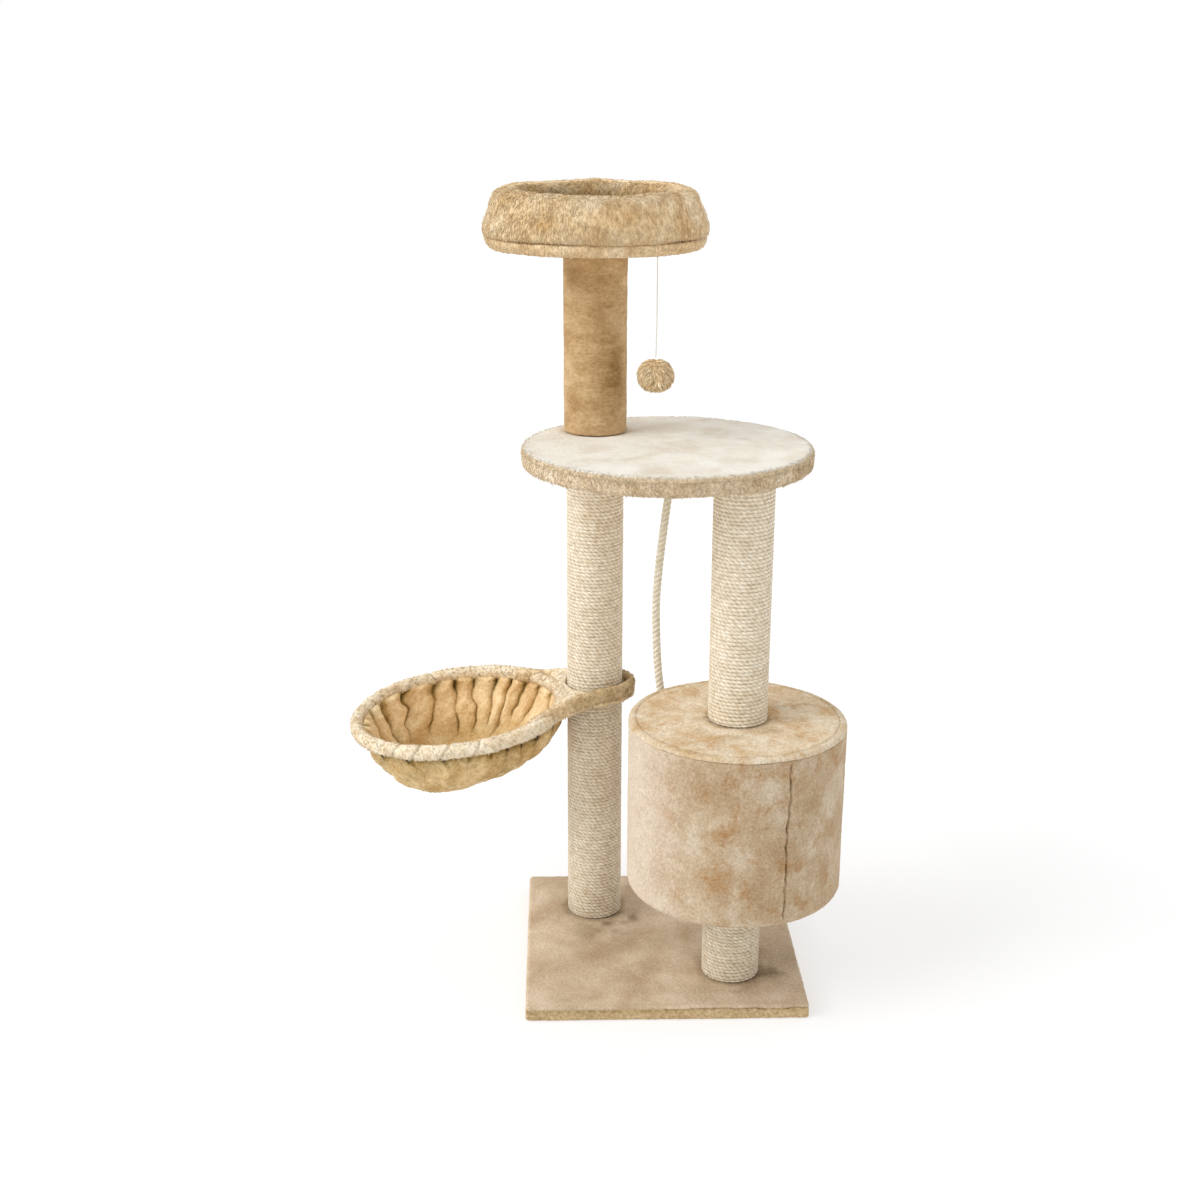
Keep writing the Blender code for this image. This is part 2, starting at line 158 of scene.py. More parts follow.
def from_axis(points, at=(0.0, 0.0)):
    """Distance of each point from a vertical axis."""
    return np.linalg.norm(points[..., :2] - at, axis=-1)


def turned(profile, count, at=(0.0, 0.0), start=0.0):
    """The (radius, height) profile turned about a vertical axis."""
    return polar(profile[:, 0, None], steps_round(count, start), profile[:, 1, None], at)


def shell(points, size, at=(0.0, 0.0), start=0.0, smooth=False):
    """A turned grid whose columns are a step apart at radius size, and its normals."""
    grid = turned(outline(points, smooth=smooth), around(size), at, start)
    return grid, normals(grid)


def normals(grid, closed=False):
    """Directions out of the grid, whose columns go round; closed says that its rows do too."""
    across = np.roll(grid, -1, 1) - np.roll(grid, 1, 1)
    down = np.roll(grid, -1, 0) - np.roll(grid, 1, 0) if closed else np.gradient(grid, axis=0)
    out = np.cross(down, across)
    return out / np.maximum(np.linalg.norm(out, axis=-1, keepdims=True), 1e-12)


def grid_faces(rows, cols, closed=False, keep=None):
    """Four-sided faces over a grid whose columns go round, or those of them that keep marks."""
    index = np.arange(rows * cols).reshape(rows, cols)
    index = np.hstack([index, index[:, :1]])
    if closed:
        index = np.vstack([index, index[:1]])
    quads = np.stack([index[:-1, :-1], index[1:, :-1], index[1:, 1:], index[:-1, 1:]], -1)
    return quads[keep] if keep is not None else quads.reshape(-1, 4)


def mesh_object(name, verts, faces, mat, shade, along=None):
    """Mesh of arrays of faces, with the attributes that its material reads."""
    mesh = bpy.data.meshes.new(name)
    mesh.vertices.add(len(verts))
    mesh.vertices.foreach_set("co", np.asarray(verts, np.float32).ravel())
    corners = np.concatenate([f.ravel() for f in faces])
    sizes = np.concatenate([np.full(len(f), f.shape[1]) for f in faces])
    mesh.loops.add(len(corners))
    mesh.loops.foreach_set("vertex_index", corners.astype(np.int32))
    mesh.polygons.add(len(sizes))
    mesh.polygons.foreach_set("loop_start", (np.cumsum(sizes) - sizes).astype(np.int32))
    mesh.update(calc_edges=True)
    mesh.validate()
    mesh.shade_smooth()
    layer = mesh.attributes.new("shade", "FLOAT", "POINT")
    layer.data.foreach_set("value", shade.astype(np.float32))
    if along is not None:
        layer = mesh.attributes.new("along", "FLOAT_VECTOR", "POINT")
        layer.data.foreach_set("vector", np.asarray(along, np.float32).ravel())
    mesh.materials.append(mat)
    obj = bpy.data.objects.new(name, mesh)
    bpy.context.scene.collection.objects.link(obj)
    return obj


def grid_object(name, grid, mat, shade=None, closed=False, keep=None, caps=(False, False),
                locks=None, along=None):
    """Mesh over a grid. caps close its first and last rows with a fan; locks adds pile."""
    rows, cols = grid.shape[:2]
    verts = [grid.reshape(-1, 3)]
    tones = [np.zeros(rows * cols) if shade is None else np.ravel(shade)]
    faces = [grid_faces(rows, cols, closed, keep)]
    total = rows * cols
    for row, wanted in ((0, caps[0]), (rows - 1, caps[1])):
        if wanted:
            edge = row * cols + np.arange(cols)
            fan = [np.full(cols, total), edge, np.roll(edge, -1)]
            faces.append(np.stack(fan if row == 0 else fan[::-1], -1))
            verts.append(grid[row].mean(0)[None])
            tones.append(tones[0].reshape(rows, cols)[row].mean()[None])
            total += 1
    if locks is not None:
        lock_verts, lock_faces, lock_tones = locks
        verts.append(lock_verts)
        tones.append(lock_tones)
        faces += [f + total for f in lock_faces]
    return mesh_object(name, np.vstack(verts), faces, mat, np.concatenate(tones), along)


def pile(grid, out, height, seed, cell=0.0034, lumps=0.3, sunk=0.0):
    """The surface raised and lowered into short pile, with soft lumps under it, and sunk in."""
    fine = 0.65 * noise(grid, cell, seed) + 0.35 * noise(grid, np.multiply(cell, 2.3), seed + 1)
    soft = noise(grid, 0.028, seed + 2)
    raised = grid + out * (height * fine + height * lumps * soft)[..., None]
    return raised - out * np.asarray(sunk)[..., None]


def locks_of_pile(roots, out, lie, draw, length, width, lift, tone, curl):
    """Curved three-sided locks rooted just under the surface and lying along lie."""
    count = len(roots)
    size = (length * draw.uniform(0.6, 1.25, count))[:, None]
    wide = (width * draw.uniform(0.7, 1.2, count))[:, None]
    lean = lie + curl * draw.normal(0.0, 1.0, (count, 3))
    lean -= out * (lean * out).sum(1, keepdims=True)
    lean /= np.maximum(np.linalg.norm(lean, axis=1, keepdims=True), 1e-9)
    side = np.cross(out, lean)
    rise = (lift * draw.uniform(0.6, 1.3, count))[:, None]
    base = roots - out * 0.0007
    middle = base + size * (0.55 * lean + 0.75 * rise * out)
    tip = base + size * (lean + rise * out)
    verts = [base + wide * 0.5 * side, base - wide * 0.5 * side, base + wide * 0.45 * out,
             middle + wide * 0.38 * side, middle - wide * 0.38 * side,
             middle + wide * 0.34 * out, tip]
    verts = np.stack(verts, 1).reshape(-1, 3)
    first = (7 * np.arange(count))[:, None, None]
    quads = (first + np.array([[0, 2, 5, 3], [2, 1, 4, 5], [1, 0, 3, 4]])).reshape(-1, 4)
    tris = (first + np.array([[3, 5, 6], [5, 4, 6], [4, 3, 6]])).reshape(-1, 3)
    shade = np.repeat(draw.normal(0.0, tone, count), 7).reshape(-1, 7)
    # Painted shade at each lock's root, among the others, and a painted highlight on its tip.
    shade[:, :3] -= 0.07
    shade[:, 6] += 0.05
    return verts, [quads, tris], shade


def nap(grid, out, count, seed, length, width, lift, tone=0.07, curl=0.35, where=None, shade=None,
        lie=None):
    """Locks of pile at random over a grid, as many as its area where asked.

    They hang down unless lie gives their directions, and take the grid's shade.
    """
    draw = np.random.RandomState(seed)
    cell = np.linalg.norm(np.cross(np.gradient(grid, axis=0), np.gradient(grid, axis=1)), axis=-1)
    if where is not None:
        cell = cell * where
    chosen = draw.choice(cell.size, count, p=cell.ravel() / cell.sum())
    roots = grid.reshape(-1, 3)[chosen] + draw.normal(0.0, 0.0006, (count, 3))
    lean = np.tile((0.0, 0.0, -1.0), (count, 1)) if lie is None else lie(roots)
    verts, faces, tones = locks_of_pile(roots, out.reshape(-1, 3)[chosen], lean, draw, length, width,
                                        lift, tone, curl)
    if shade is not None:
        tones = tones + shade.ravel()[chosen][:, None]
    return verts, faces, tones.ravel()


def inflate(name, grid, pinned_rows, pressure, limit, closed, frames=20):
    """The grid blown up like a stuffed cover by the cloth solver, no point moving past limit."""
    rows, cols = grid.shape[:2]
    caps = (not closed, not closed)
    obj = grid_object(name, grid, None, closed=closed, caps=caps)
    pinned = obj.vertex_groups.new(name="pinned")
    pinned.add([r * cols + c for r in pinned_rows for c in range(cols)], 1.0, "REPLACE")
    cloth = obj.modifiers.new("cloth", "CLOTH")
    cloth.settings.use_pressure = True
    cloth.settings.uniform_pressure_force = pressure
    cloth.settings.effector_weights.gravity = 0.0
    cloth.settings.tension_stiffness = 12.0
    cloth.settings.compression_stiffness = 8.0
    cloth.settings.bending_stiffness = 0.4
    cloth.settings.vertex_group_mass = "pinned"
    cloth.collision_settings.use_collision = False
    cloth.point_cache.frame_start = 1
    cloth.point_cache.frame_end = frames
    for step in range(1, frames + 1):
        bpy.context.scene.frame_set(step)
    settled = obj.evaluated_get(bpy.context.evaluated_depsgraph_get()).data
    place = np.zeros(3 * len(settled.vertices), np.float32)
    settled.vertices.foreach_get("co", place)
    place = place.reshape(-1, 3)[:rows * cols].reshape(grid.shape)
    bpy.data.objects.remove(obj)
    bpy.context.scene.frame_set(1)
    move = place - grid
    far = np.linalg.norm(move, axis=-1, keepdims=True)
    return grid + move * np.minimum(1.0, limit / np.maximum(far, 1e-9))


def stuffed(name, coarse, columns, at, still, pressure, limit, fine, closed=False):
    """A coarse outline turned about an axis and blown up, then given its fine rows and columns."""
    grid = inflate(name, turned(coarse, columns, at), still, pressure, limit, closed)
    return resample(resample(grid, fine[0], 0, closed), fine[1], 1, True)


# --- Swept tubes ---

def frames_along(path, ring=False):
    """Two directions across the path at each of its points, without twist."""
    ahead = direction(np.roll(path, -1, 0) - np.roll(path, 1, 0) if ring else np.gradient(path, axis=0))
    side = np.zeros_like(path)
    start = np.cross(ahead[0], (0.0, 1.0, 0.0))
    if np.linalg.norm(start) < 0.1:
        start = np.cross(ahead[0], (1.0, 0.0, 0.0))
    side[0] = direction(start)
    for i in range(1, len(path)):
        side[i] = direction(side[i - 1] - ahead[i] * np.dot(side[i - 1], ahead[i]))
    return side, np.cross(ahead, side)


def rope_object(name, path, mat, radius, lay, strands, sides, ring=False):
    """Strands twisted round each other along the path; lay is the length of one turn."""
    side, other = frames_along(path, ring)
    reach = reach_along(path)
    thick = radius / (1.0 + 1.0 / math.sin(math.pi / strands)) * 1.12
    offset = radius - thick
    angle = -steps_round(sides)
    verts, faces, tones, along = [], [], [], []
    for s in range(strands):
        turn = TURN * (reach / lay + s / strands)
        centre = path + offset * (np.cos(turn)[:, None] * side + np.sin(turn)[:, None] * other)
        a, b = frames_along(centre, ring)
        fibre = 1.0 + 0.03125 * np.sin(5.0 * angle + 9.0 * turn[:, None])
        section = np.cos(angle)[:, None] * a[:, None] + np.sin(angle)[:, None] * b[:, None]
        rows = centre[:, None] + thick * fibre[..., None] * section
        faces.append(grid_faces(len(path), sides, ring) + len(verts) * len(path) * sides)
        verts.append(rows.reshape(-1, 3))
        away = np.linalg.norm(rows - path[:, None], axis=-1)
        # Painted shade in the grooves between the strands: darker nearer the rope's middle.
        tones.append((0.85 * (np.clip(away / radius, 0.4, 1.0) - 0.90)).ravel())
        along.append(xyz(reach[:, None], angle * thick, 0.01 * s).reshape(-1, 3))
    if not ring:
        first = len(path) * sides * np.arange(strands)[:, None] + np.arange(sides)
        last = first + (len(path) - 1) * sides
        faces.append(np.stack([first, last[:, ::-1]], 1).reshape(-1, sides))
    return mesh_object(name, np.vstack(verts), faces, mat, np.concatenate(tones),
                       np.vstack(along))


# --- Materials ---

def linear(rgb):
    """An sRGB colour, 0 to 255, as the linear colour that shaders take."""
    out = []
    for value in rgb:
        v = value / 255.0
        out.append(v / 12.92 if v <= 0.04045 else ((v + 0.055) / 1.055) ** 2.4)
    return (*out, 1.0)


def add_node(tree, kind, output, inputs=(), **settings):
    """One output of a new node; its inputs are set to values or wired to other outputs."""
    node = tree.nodes.new("ShaderNode" + kind)
    for name, value in settings.items():
        setattr(node, name, value)
    for name, value in dict(inputs).items():
        if isinstance(value, bpy.types.NodeSocket):
            tree.links.new(value, node.inputs[name])
        else:
            node.inputs[name].default_value = value
    return node.outputs[output]


class Shader:
    """A material's node tree, wired from textures to its one Principled shader."""

    def __init__(self, name, roughness, **constants):
        self.material = bpy.data.materials.new(name)
        self.material.use_nodes = True
        self.tree = self.material.node_tree
        self.main = self.tree.nodes["Principled BSDF"]
        self.main.inputs["Roughness"].default_value = roughness
        for socket, value in constants.items():
            self.main.inputs[socket.replace("_", " ")].default_value = value

    def feed(self, source, socket):
        """Wire an output into the Principled shader."""
        self.tree.links.new(source, self.main.inputs[socket])

    def coordinates(self, stretch, attribute=None):
        """The object's own coordinates, or an attribute's, stretched."""
        if attribute is None:
            source = add_node(self.tree, "TexCoord", "Object")
        else:
            source = add_node(self.tree, "Attribute", "Vector", attribute_name=attribute)
        return add_node(self.tree, "Mapping", "Vector", {"Scale": stretch, "Vector": source})

    def noise(self, size, detail=2.0, distortion=0.0, stretch=(1, 1, 1), attribute=None, rough=0.5):
        """Noise whose features are about size metres across."""
        place = self.coordinates(stretch, attribute)
        return add_node(self.tree, "TexNoise", "Fac",
                        {"Scale": 1.0 / size, "Detail": detail, "Roughness": rough,
                         "Distortion": distortion, "Vector": place})

    def maths(self, operation, a, b):
        """The operation on two outputs or numbers."""
        return add_node(self.tree, "Math", 0, {0: a, 1: b}, operation=operation)

    def share_along(self, axis_name, start, end):
        """0 at one place along X, Y or Z and 1 at the other, a little uneven."""
        place = add_node(self.tree, "SeparateXYZ", axis_name, {"Vector": self.coordinates((1, 1, 1))})
        uneven = self.maths("MULTIPLY", self.maths("SUBTRACT", self.noise(0.006), 0.5),
                            0.5 * (start - end))
        return add_node(self.tree, "MapRange", "Result",
                        {"From Min": start, "From Max": end, "Value": self.maths("ADD", place, uneven)})

    def brightness(self, fine, swing):
        """About 1: the mesh's own shade, and more or less of it as fine leaves its middle."""
        own = add_node(self.tree, "Attribute", "Fac", attribute_name="shade")
        spread = self.maths("MULTIPLY", self.maths("SUBTRACT", fine, 0.5), swing)
        return self.maths("ADD", self.maths("ADD", spread, own), 1.0)

    def ramp(self, factor, stops):
        """Colours at (position, colour) stops; three numbers are sRGB, four are linear."""
        node = self.tree.nodes.new("ShaderNodeValToRGB")
        band = node.color_ramp
        while len(band.elements) < len(stops):
            band.elements.new(0.5)
        for element, (position, colour) in zip(band.elements, stops):
            element.position = position
            element.color = linear(colour) if len(colour) == 3 else colour
        self.tree.links.new(factor, node.inputs["Fac"])
        return node.outputs["Color"]

    def mix(self, factor, colour, other):
        """From the colour to another, given as sRGB, by a factor."""
        return add_node(self.tree, "Mix", 2, {"Factor": factor, 6: colour, 7: linear(other)},
                        data_type="RGBA")

    def tone(self, colour, brightness):
        """The colour made brighter or darker by a factor about 1, and richer as it darkens."""
        richness = self.maths("SUBTRACT", 1.4, self.maths("MULTIPLY", brightness, 0.4))
        return add_node(self.tree, "HueSaturation", "Color",
                        {"Color": colour, "Value": brightness, "Saturation": richness})

    def finish(self, colour, height=None, depth=0.001, strength=0.6):
        """The material, with its colour and its fine relief wired in."""
        self.feed(colour, "Base Color")
        if height is not None:
            self.feed(add_node(self.tree, "Bump", "Normal",
                               {"Strength": strength, "Distance": depth, "Height": height}), "Normal")
        return self.material


def plush(name, deep, body, pale, patch=0.05, stretch=(1, 1, 1), grain=0.30, fleck=0.0036,
          strokes=None, fade=None):
    """Short pile that looks darker or paler where it has been brushed one way or the other.

    strokes is the colour of a few darker brush marks; fade is a colour, an axis and the two
    places along it between which the pile fades to that colour.
    """
    s = Shader(name, 0.92, Sheen_Weight=0.2, Sheen_Roughness=0.5, Specular_IOR_Level=0.12)
    s.main.inputs["Sheen Tint"].default_value = linear((255, 240, 215))
    brushed = s.noise(patch, 3.0, 0.35, stretch, rough=0.6)
    colour = s.ramp(brushed, [(0.32, deep), (0.5, body), (0.68, pale)])
    if strokes is not None:
        marks = s.noise(0.034, 4.0, 0.4, stretch, rough=0.66)
        share = s.ramp(marks, [(0.53, (0.0, 0.0, 0.0, 1.0)), (0.68, (0.75, 0.75, 0.75, 1.0))])
        colour = s.mix(share, colour, strokes)
    if fade is not None:
        faded, axis_name, start, end = fade
        colour = s.mix(s.share_along(axis_name, start, end), colour, faded)
    specks = s.noise(fleck, 2.0, 0.3, stretch)
    fibres = s.noise(0.4 * fleck, 2.0, 0.0, stretch)
    fine = s.maths("ADD", s.maths("MULTIPLY", specks, 0.55), s.maths("MULTIPLY", fibres, 0.45))
    return s.finish(s.tone(colour, s.brightness(fine, 2.0 * grain)), fine, 0.0018, 0.6)


def sisal(name, deep, body, pale):
    """Twisted sisal yarn: fibres run along it, some pale and some straw-coloured."""
    s = Shader(name, 0.85, Sheen_Weight=0.15, Specular_IOR_Level=0.2)
    tint = s.noise(0.009, 3.0, 0.2)
    colour = s.ramp(tint, [(0.25, deep), (0.5, body), (0.75, pale)])
    fibres = s.noise(0.0016, 3.0, 0.3, (0.28, 1.0, 1.0), "along")
    return s.finish(s.tone(colour, s.brightness(fibres, 0.60)), fibres, 0.0008, 0.5)


def thread(name):
    """White cotton, a little fuzzy."""
    s = Shader(name, 0.6, Sheen_Weight=0.3)
    colour = s.ramp(s.noise(0.0015, 2.0), [(0.3, (214, 210, 200)), (0.7, (246, 244, 238))])
    return s.finish(colour, s.noise(0.0006, 2.0), 0.0003, 0.5)


def cardboard(name):
    """Grey-brown board with short fibres and faint windings."""
    s = Shader(name, 0.85, Specular_IOR_Level=0.25)
    fibres = s.noise(0.004, 4.0, 0.3, (1.0, 1.0, 6.0), rough=0.65)
    colour = s.ramp(fibres, [(0.3, (150, 120, 84)), (0.55, (176, 145, 105)), (0.75, (196, 168, 130))])
    return s.finish(colour, fibres, 0.0004, 0.4)


def chipboard(name):
    """Pressed chips of pale and dark wood."""
    s = Shader(name, 0.8, Specular_IOR_Level=0.25)
    chips = add_node(s.tree, "TexVoronoi", "Color",
                     {"Scale": 250.0, "Vector": s.coordinates((1.0, 1.6, 1.3))})
    kind = add_node(s.tree, "SeparateColor", "Red", {"Color": chips})
    height = add_node(s.tree, "SeparateColor", "Green", {"Color": chips})
    colour = s.ramp(kind, [(0.0, (142, 104, 66)), (0.45, (186, 150, 104)), (1.0, (214, 184, 140))])
    bright = s.maths("ADD", s.maths("MULTIPLY", s.noise(0.0015, 3.0), 0.3), 0.85)
    return s.finish(s.tone(colour, bright), height, 0.0004, 0.35)


def zinc(name):
    """Zinc-plated steel, a little mottled."""
    s = Shader(name, 0.34, Metallic=1.0)
    mottle = s.noise(0.003, 4.0, rough=0.65)
    colour = s.ramp(mottle, [(0.3, (150, 152, 156)), (0.7, (204, 206, 208))])
    s.feed(s.maths("ADD", s.maths("MULTIPLY", mottle, 0.25), 0.24), "Roughness")
    return s.finish(colour, s.noise(0.0009, 2.0), 0.0001, 0.2)


TAN = plush("plush tan", (200, 174, 138), (218, 197, 166), (232, 216, 190), grain=0.42)
# Tan plush that fades paler towards the left: painted light from the lamp's side.
DRUM_TAN_AND_PAINTED_LIGHT = plush("plush drum", (170, 142, 109), (184, 161, 131), (199, 182, 158), grain=0.66,
                 strokes=(167, 126, 82), fade=((210, 196, 178), "X", 0.035, -0.080))
# The drum's tan plush made paler as painted light on the top, with darker brush strokes.
ROOF_TAN_AND_PAINTED_LIGHT = plush("plush roof", (204, 174, 134), (218, 198, 168), (229, 216, 194), patch=0.036,
                 grain=0.66, strokes=(194, 153, 104))
# Tan plush made darker as painted shade low down under the stand; its face fades warmer.
BASE_TAN_AND_PAINTED_SHADE = plush("plush base", (184, 159, 130), (200, 179, 152), (214, 195, 171), patch=0.07,
                 grain=0.55, fade=((200, 174, 135), "Z", 0.0195, 0.0150))
BED_TAN = plush("plush bed", (206, 171, 120), (221, 193, 149), (234, 214, 180), patch=0.045,
                stretch=(1.0, 1.0, 0.6), fleck=0.0022)
# Cream plush made paler as painted light on the top, fading to tan down the rounded edge.
CREAM_AND_PAINTED_LIGHT = plush("plush cream and painted light", (218, 210, 197), (232, 229, 220), (240, 238, 232), patch=0.06,
              grain=0.10, fade=((222, 201, 168), "Z", 0.7851, 0.7822))
LINING = plush("plush orange-tan", (203, 167, 114), (217, 186, 136), (228, 204, 158), patch=0.04,
               grain=0.50)
RIM_TAN = plush("plush rim", (228, 205, 170), (241, 225, 196), (248, 237, 216), patch=0.03,
                grain=0.42)
DARK_TAN = plush("plush dark tan", (168, 133, 90), (187, 154, 110), (203, 173, 131), patch=0.035,
                 stretch=(0.6, 0.6, 1.2), grain=0.56)
LOOP_TAN = plush("plush loop", (206, 180, 138), (223, 199, 159), (234, 214, 178), patch=0.02,
                 grain=0.46)
POMPOM_TAN = plush("plush pompom", (226, 194, 146), (238, 210, 166), (246, 224, 186), patch=0.02,
                   grain=0.16)
SISAL = sisal("sisal rope", (206, 188, 160), (222, 208, 184), (233, 223, 204))
ROPE_SISAL = sisal("play rope sisal", (208, 199, 176), (221, 213, 193), (232, 226, 210))
THREAD = thread("white thread")
CARDBOARD = cardboard("grey cardboard")
CHIPBOARD = chipboard("chipboard")
ZINC = zinc("zinc-plated steel")


# --- Camera, light and floor ---

def make_camera():
    """A 49 mm lens a little above the bed, looking down at the middle from the front."""
    camera = bpy.data.objects.new("camera", bpy.data.cameras.new("camera"))
    bpy.context.scene.collection.objects.link(camera)
    camera.data.sensor_width = 36.0
    camera.data.lens = 49.09
    camera.data.shift_x = -0.0009
    camera.data.shift_y = 0.0213
    turn = (Matrix.Rotation(math.radians(-1.486), 4, "Z")
            @ Matrix.Rotation(math.radians(90.0 - 18.618), 4, "X")
            @ Matrix.Rotation(math.radians(0.172), 4, "Z"))
    camera.matrix_world = Matrix.Translation((-0.1482, -2.2148, 1.2681)) @ turn
    bpy.context.scene.camera = camera


def soft_sun(name, at, strength, spread):
    """Even light from one side, as from a large softbox."""
    light = bpy.data.lights.new(name, "SUN")
    light.energy = strength
    light.angle = math.radians(spread)
    obj = bpy.data.objects.new(name, light)
    obj.location = at
    obj.rotation_euler = (-Vector(at)).to_track_quat("-Z", "Y").to_euler()
    bpy.context.scene.collection.objects.link(obj)


def make_stage():
    """White backdrop all round, one soft light from the left, and a pale floor."""
    world = bpy.data.worlds.new("studio")
    world.use_nodes = True
    tree = world.node_tree
    seen = add_node(tree, "LightPath", "Is Camera Ray")
    strength = add_node(tree, "MapRange", "Result", {"To Min": AMBIENT, "To Max": 1.0, "Value": seen})
    backdrop = tree.nodes["Background"]
    tree.links.new(strength, backdrop.inputs["Strength"])
    backdrop.inputs["Color"].default_value = (1.0, 1.0, 1.0, 1.0)
    bpy.context.scene.world = world
    bpy.context.scene.view_settings.view_transform = "Standard"
    soft_sun("key", (-2.5, -0.8, 2.0), strength=1.55, spread=40.0)
    mesh = bpy.data.meshes.new("floor")
    reach = 12.0
    mesh.from_pydata([(-reach, -reach, 0.0), (reach, -reach, 0.0), (reach, reach, 0.0),
                      (-reach, reach, 0.0)], [], [(0, 1, 2, 3)])
    pale = Shader("pale floor", 0.95, Specular_IOR_Level=0.0, Emission_Strength=0.5)
    pale.main.inputs["Emission Color"].default_value = (1.0, 1.0, 1.0, 1.0)
    grain = pale.ramp(pale.noise(0.4), [(0.3, (0.50, 0.50, 0.50, 1.0)), (0.7, (0.52, 0.52, 0.52, 1.0))])
    mesh.materials.append(pale.finish(grain))
    floor = bpy.data.objects.new("floor", mesh)
    floor.location.z = -0.0006
    bpy.context.scene.collection.objects.link(floor)


# --- Places taken from the frame ---

def axis(node):
    """Middle of a node's box, seen from above."""
    low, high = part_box(node)
    return np.array([(low.x + high.x) / 2.0, (low.y + high.y) / 2.0])


def radius(node):
    """Half the width of a node's box."""
    low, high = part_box(node)
    return (high.x - low.x) / 2.0


LEFT = axis("left_post_core")
RIGHT = axis("right_post_core")
FRONT = -math.pi / 2.0           # the angle that faces the front


def put(obj, body, slot_name, *nodes):
    """The piece rides on a body and stands for any CAD nodes given, which it hides; slot_name is not
    used.
    """
    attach(obj, body)
    if nodes:
        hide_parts(*nodes)
    return obj


def heading(grid, centre):
    """Angle of each point about a vertical axis, measured from the front, right positive."""
    angle = np.arctan2(grid[..., 1] - centre[1], grid[..., 0] - centre[0]) - FRONT
    return (angle + math.pi) % TURN - math.pi


def round_to(angle, start, full):
    """From 0 at start to 1 at full, and back to 0 round at the back."""
    return held((angle - start) / (full - start)) * held((math.pi - angle) / 0.7)


# --- Toys: the string and pompom, the rope and its knots ---

def make_pompom():
    """Ball of long pile on a thread, which is knotted under the bed."""
    low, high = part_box("pompom_knot")
    x, y = axis("pompom_knot")
    ball_low, ball_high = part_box("pompom")
    route = [(x, y, low.z - 0.0003), (x + 0.0003, y, 0.985), (x + 0.0002, y, 0.940),
             (x - 0.0006, y, ball_high.z + 0.0003)]
    path = resample(np.array(route), 28)
    string = rope_object("pompom_string_twist", resample(path, 400), THREAD, radius=0.0011,
                         lay=0.006, strands=2, sides=8)
    put(string, "pompom", "white_thread", "pompom_string")

    knot = knot_object("pompom_knot_tied", (low + high) / 2.0, high - low, THREAD, thick=0.0010)
    put(knot, "pompom_knot", "white_thread", "pompom_knot")

    centre = np.array((ball_low + ball_high) / 2.0)
    half = np.array(ball_high - ball_low) / 2.0
    rings = np.radians(np.linspace(4.0, 176.0, 48))[:, None]
    unit = polar(np.sin(rings), steps_round(96), np.cos(rings))
    grid = pile(centre + unit * half * 0.87, unit, 0.0012, 5, lumps=1.0)

    def parted(roots):
        """Down, to the left and to the right of a parting."""
        aside = np.clip((roots[:, 0] - centre[0]) / 0.008, -1.0, 1.0)
        return xyz(0.55 * aside, 0.0, -0.9)

    locks = nap(grid, unit, 3400, seed=21, length=0.0085, width=0.0015, lift=0.24, tone=0.22,
                curl=0.10, lie=parted)
    # Painted shade along the parting, where the strands open.
    ball = grid_object("pompom_ball", grid, POMPOM_TAN, caps=(True, True), locks=locks,
                       shade=-0.14 * bump(grid[..., 0] - centre[0], 0.003))
    put(ball, "pompom", "tan_plush", "pompom")


def knot_object(name, centre, size, mat, thick):
    """A rope tied into an overhand knot, closed up to fill the size."""
    t = steps_round(180)
    curve = xyz(np.sin(t) + 2.0 * np.sin(2.0 * t), np.cos(t) - 2.0 * np.cos(2.0 * t),
                -1.6 * np.sin(3.0 * t))
    reach = np.abs(curve).max(0)
    half = np.array(size) / 2.0 - thick
    curve = np.array(centre) + curve / reach * half
    return rope_object(name, curve, mat, radius=thick, lay=3.6 * thick, strands=3, sides=10,
                       ring=True)


def make_play_rope():
    """Three-strand rope knotted under the platform, with a knot at its end."""
    low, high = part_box("play_rope_top_knot")
    x, y = axis("play_rope_top_knot")
    route = [(x, y, low.z - 0.0006), (0.0088, y, 0.727), (0.0045, y, 0.697), (-0.0036, y, 0.628),
             (-0.0086, y, 0.572), (-0.0100, y, 0.530), (-0.0085, y, 0.480), (-0.0058, y, 0.440),
             (-0.0018, y, 0.408), (0.0022, y, 0.3825)]
    path = resample(np.array(route), 22)
    rope = rope_object("play_rope_twist", resample(path, 420), ROPE_SISAL, radius=0.006,
                       lay=0.023, strands=3, sides=14)
    put(rope, "rope", "sisal", "play_rope")
    clear_of_cover = Vector((0.0, 0.0, 0.0012))
    top_knot = knot_object("play_rope_top_knot_tied", (low + high) / 2.0 - clear_of_cover, high - low,
                           ROPE_SISAL, thick=0.0042)
    put(top_knot, "rope_knot", "sisal", "play_rope_top_knot")
    end_low, end_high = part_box("play_rope_knot")
    end_knot = knot_object("play_rope_end_knot_tied", (end_low + end_high) / 2.0,
                           0.90 * (end_high - end_low), ROPE_SISAL, thick=0.0048)
    put(end_knot, "rope", "sisal", "play_rope_knot")


# --- Base ---

def rounded_square(half, corner, count):
    """Points round a square with rounded corners, anticlockwise."""
    spot = 4.0 * np.arange(count) / count
    f = 2.0 * (spot % 1.0) - 1.0
    side = spot.astype(int)
    x = np.choose(side, [1.0 + 0 * f, -f, -1.0 + 0 * f, f]) * half
    y = np.choose(side, [f, 1.0 + 0 * f, -f, -1.0 + 0 * f]) * half
    p = np.stack([x, y], -1)
    inner = np.clip(p, -(half - corner), half - corner)
    q = p - inner
    reach = np.linalg.norm(q, axis=1, keepdims=True)
    return inner + np.where(reach > 1e-9, q / np.maximum(reach, 1e-9) * corner, 0.0)


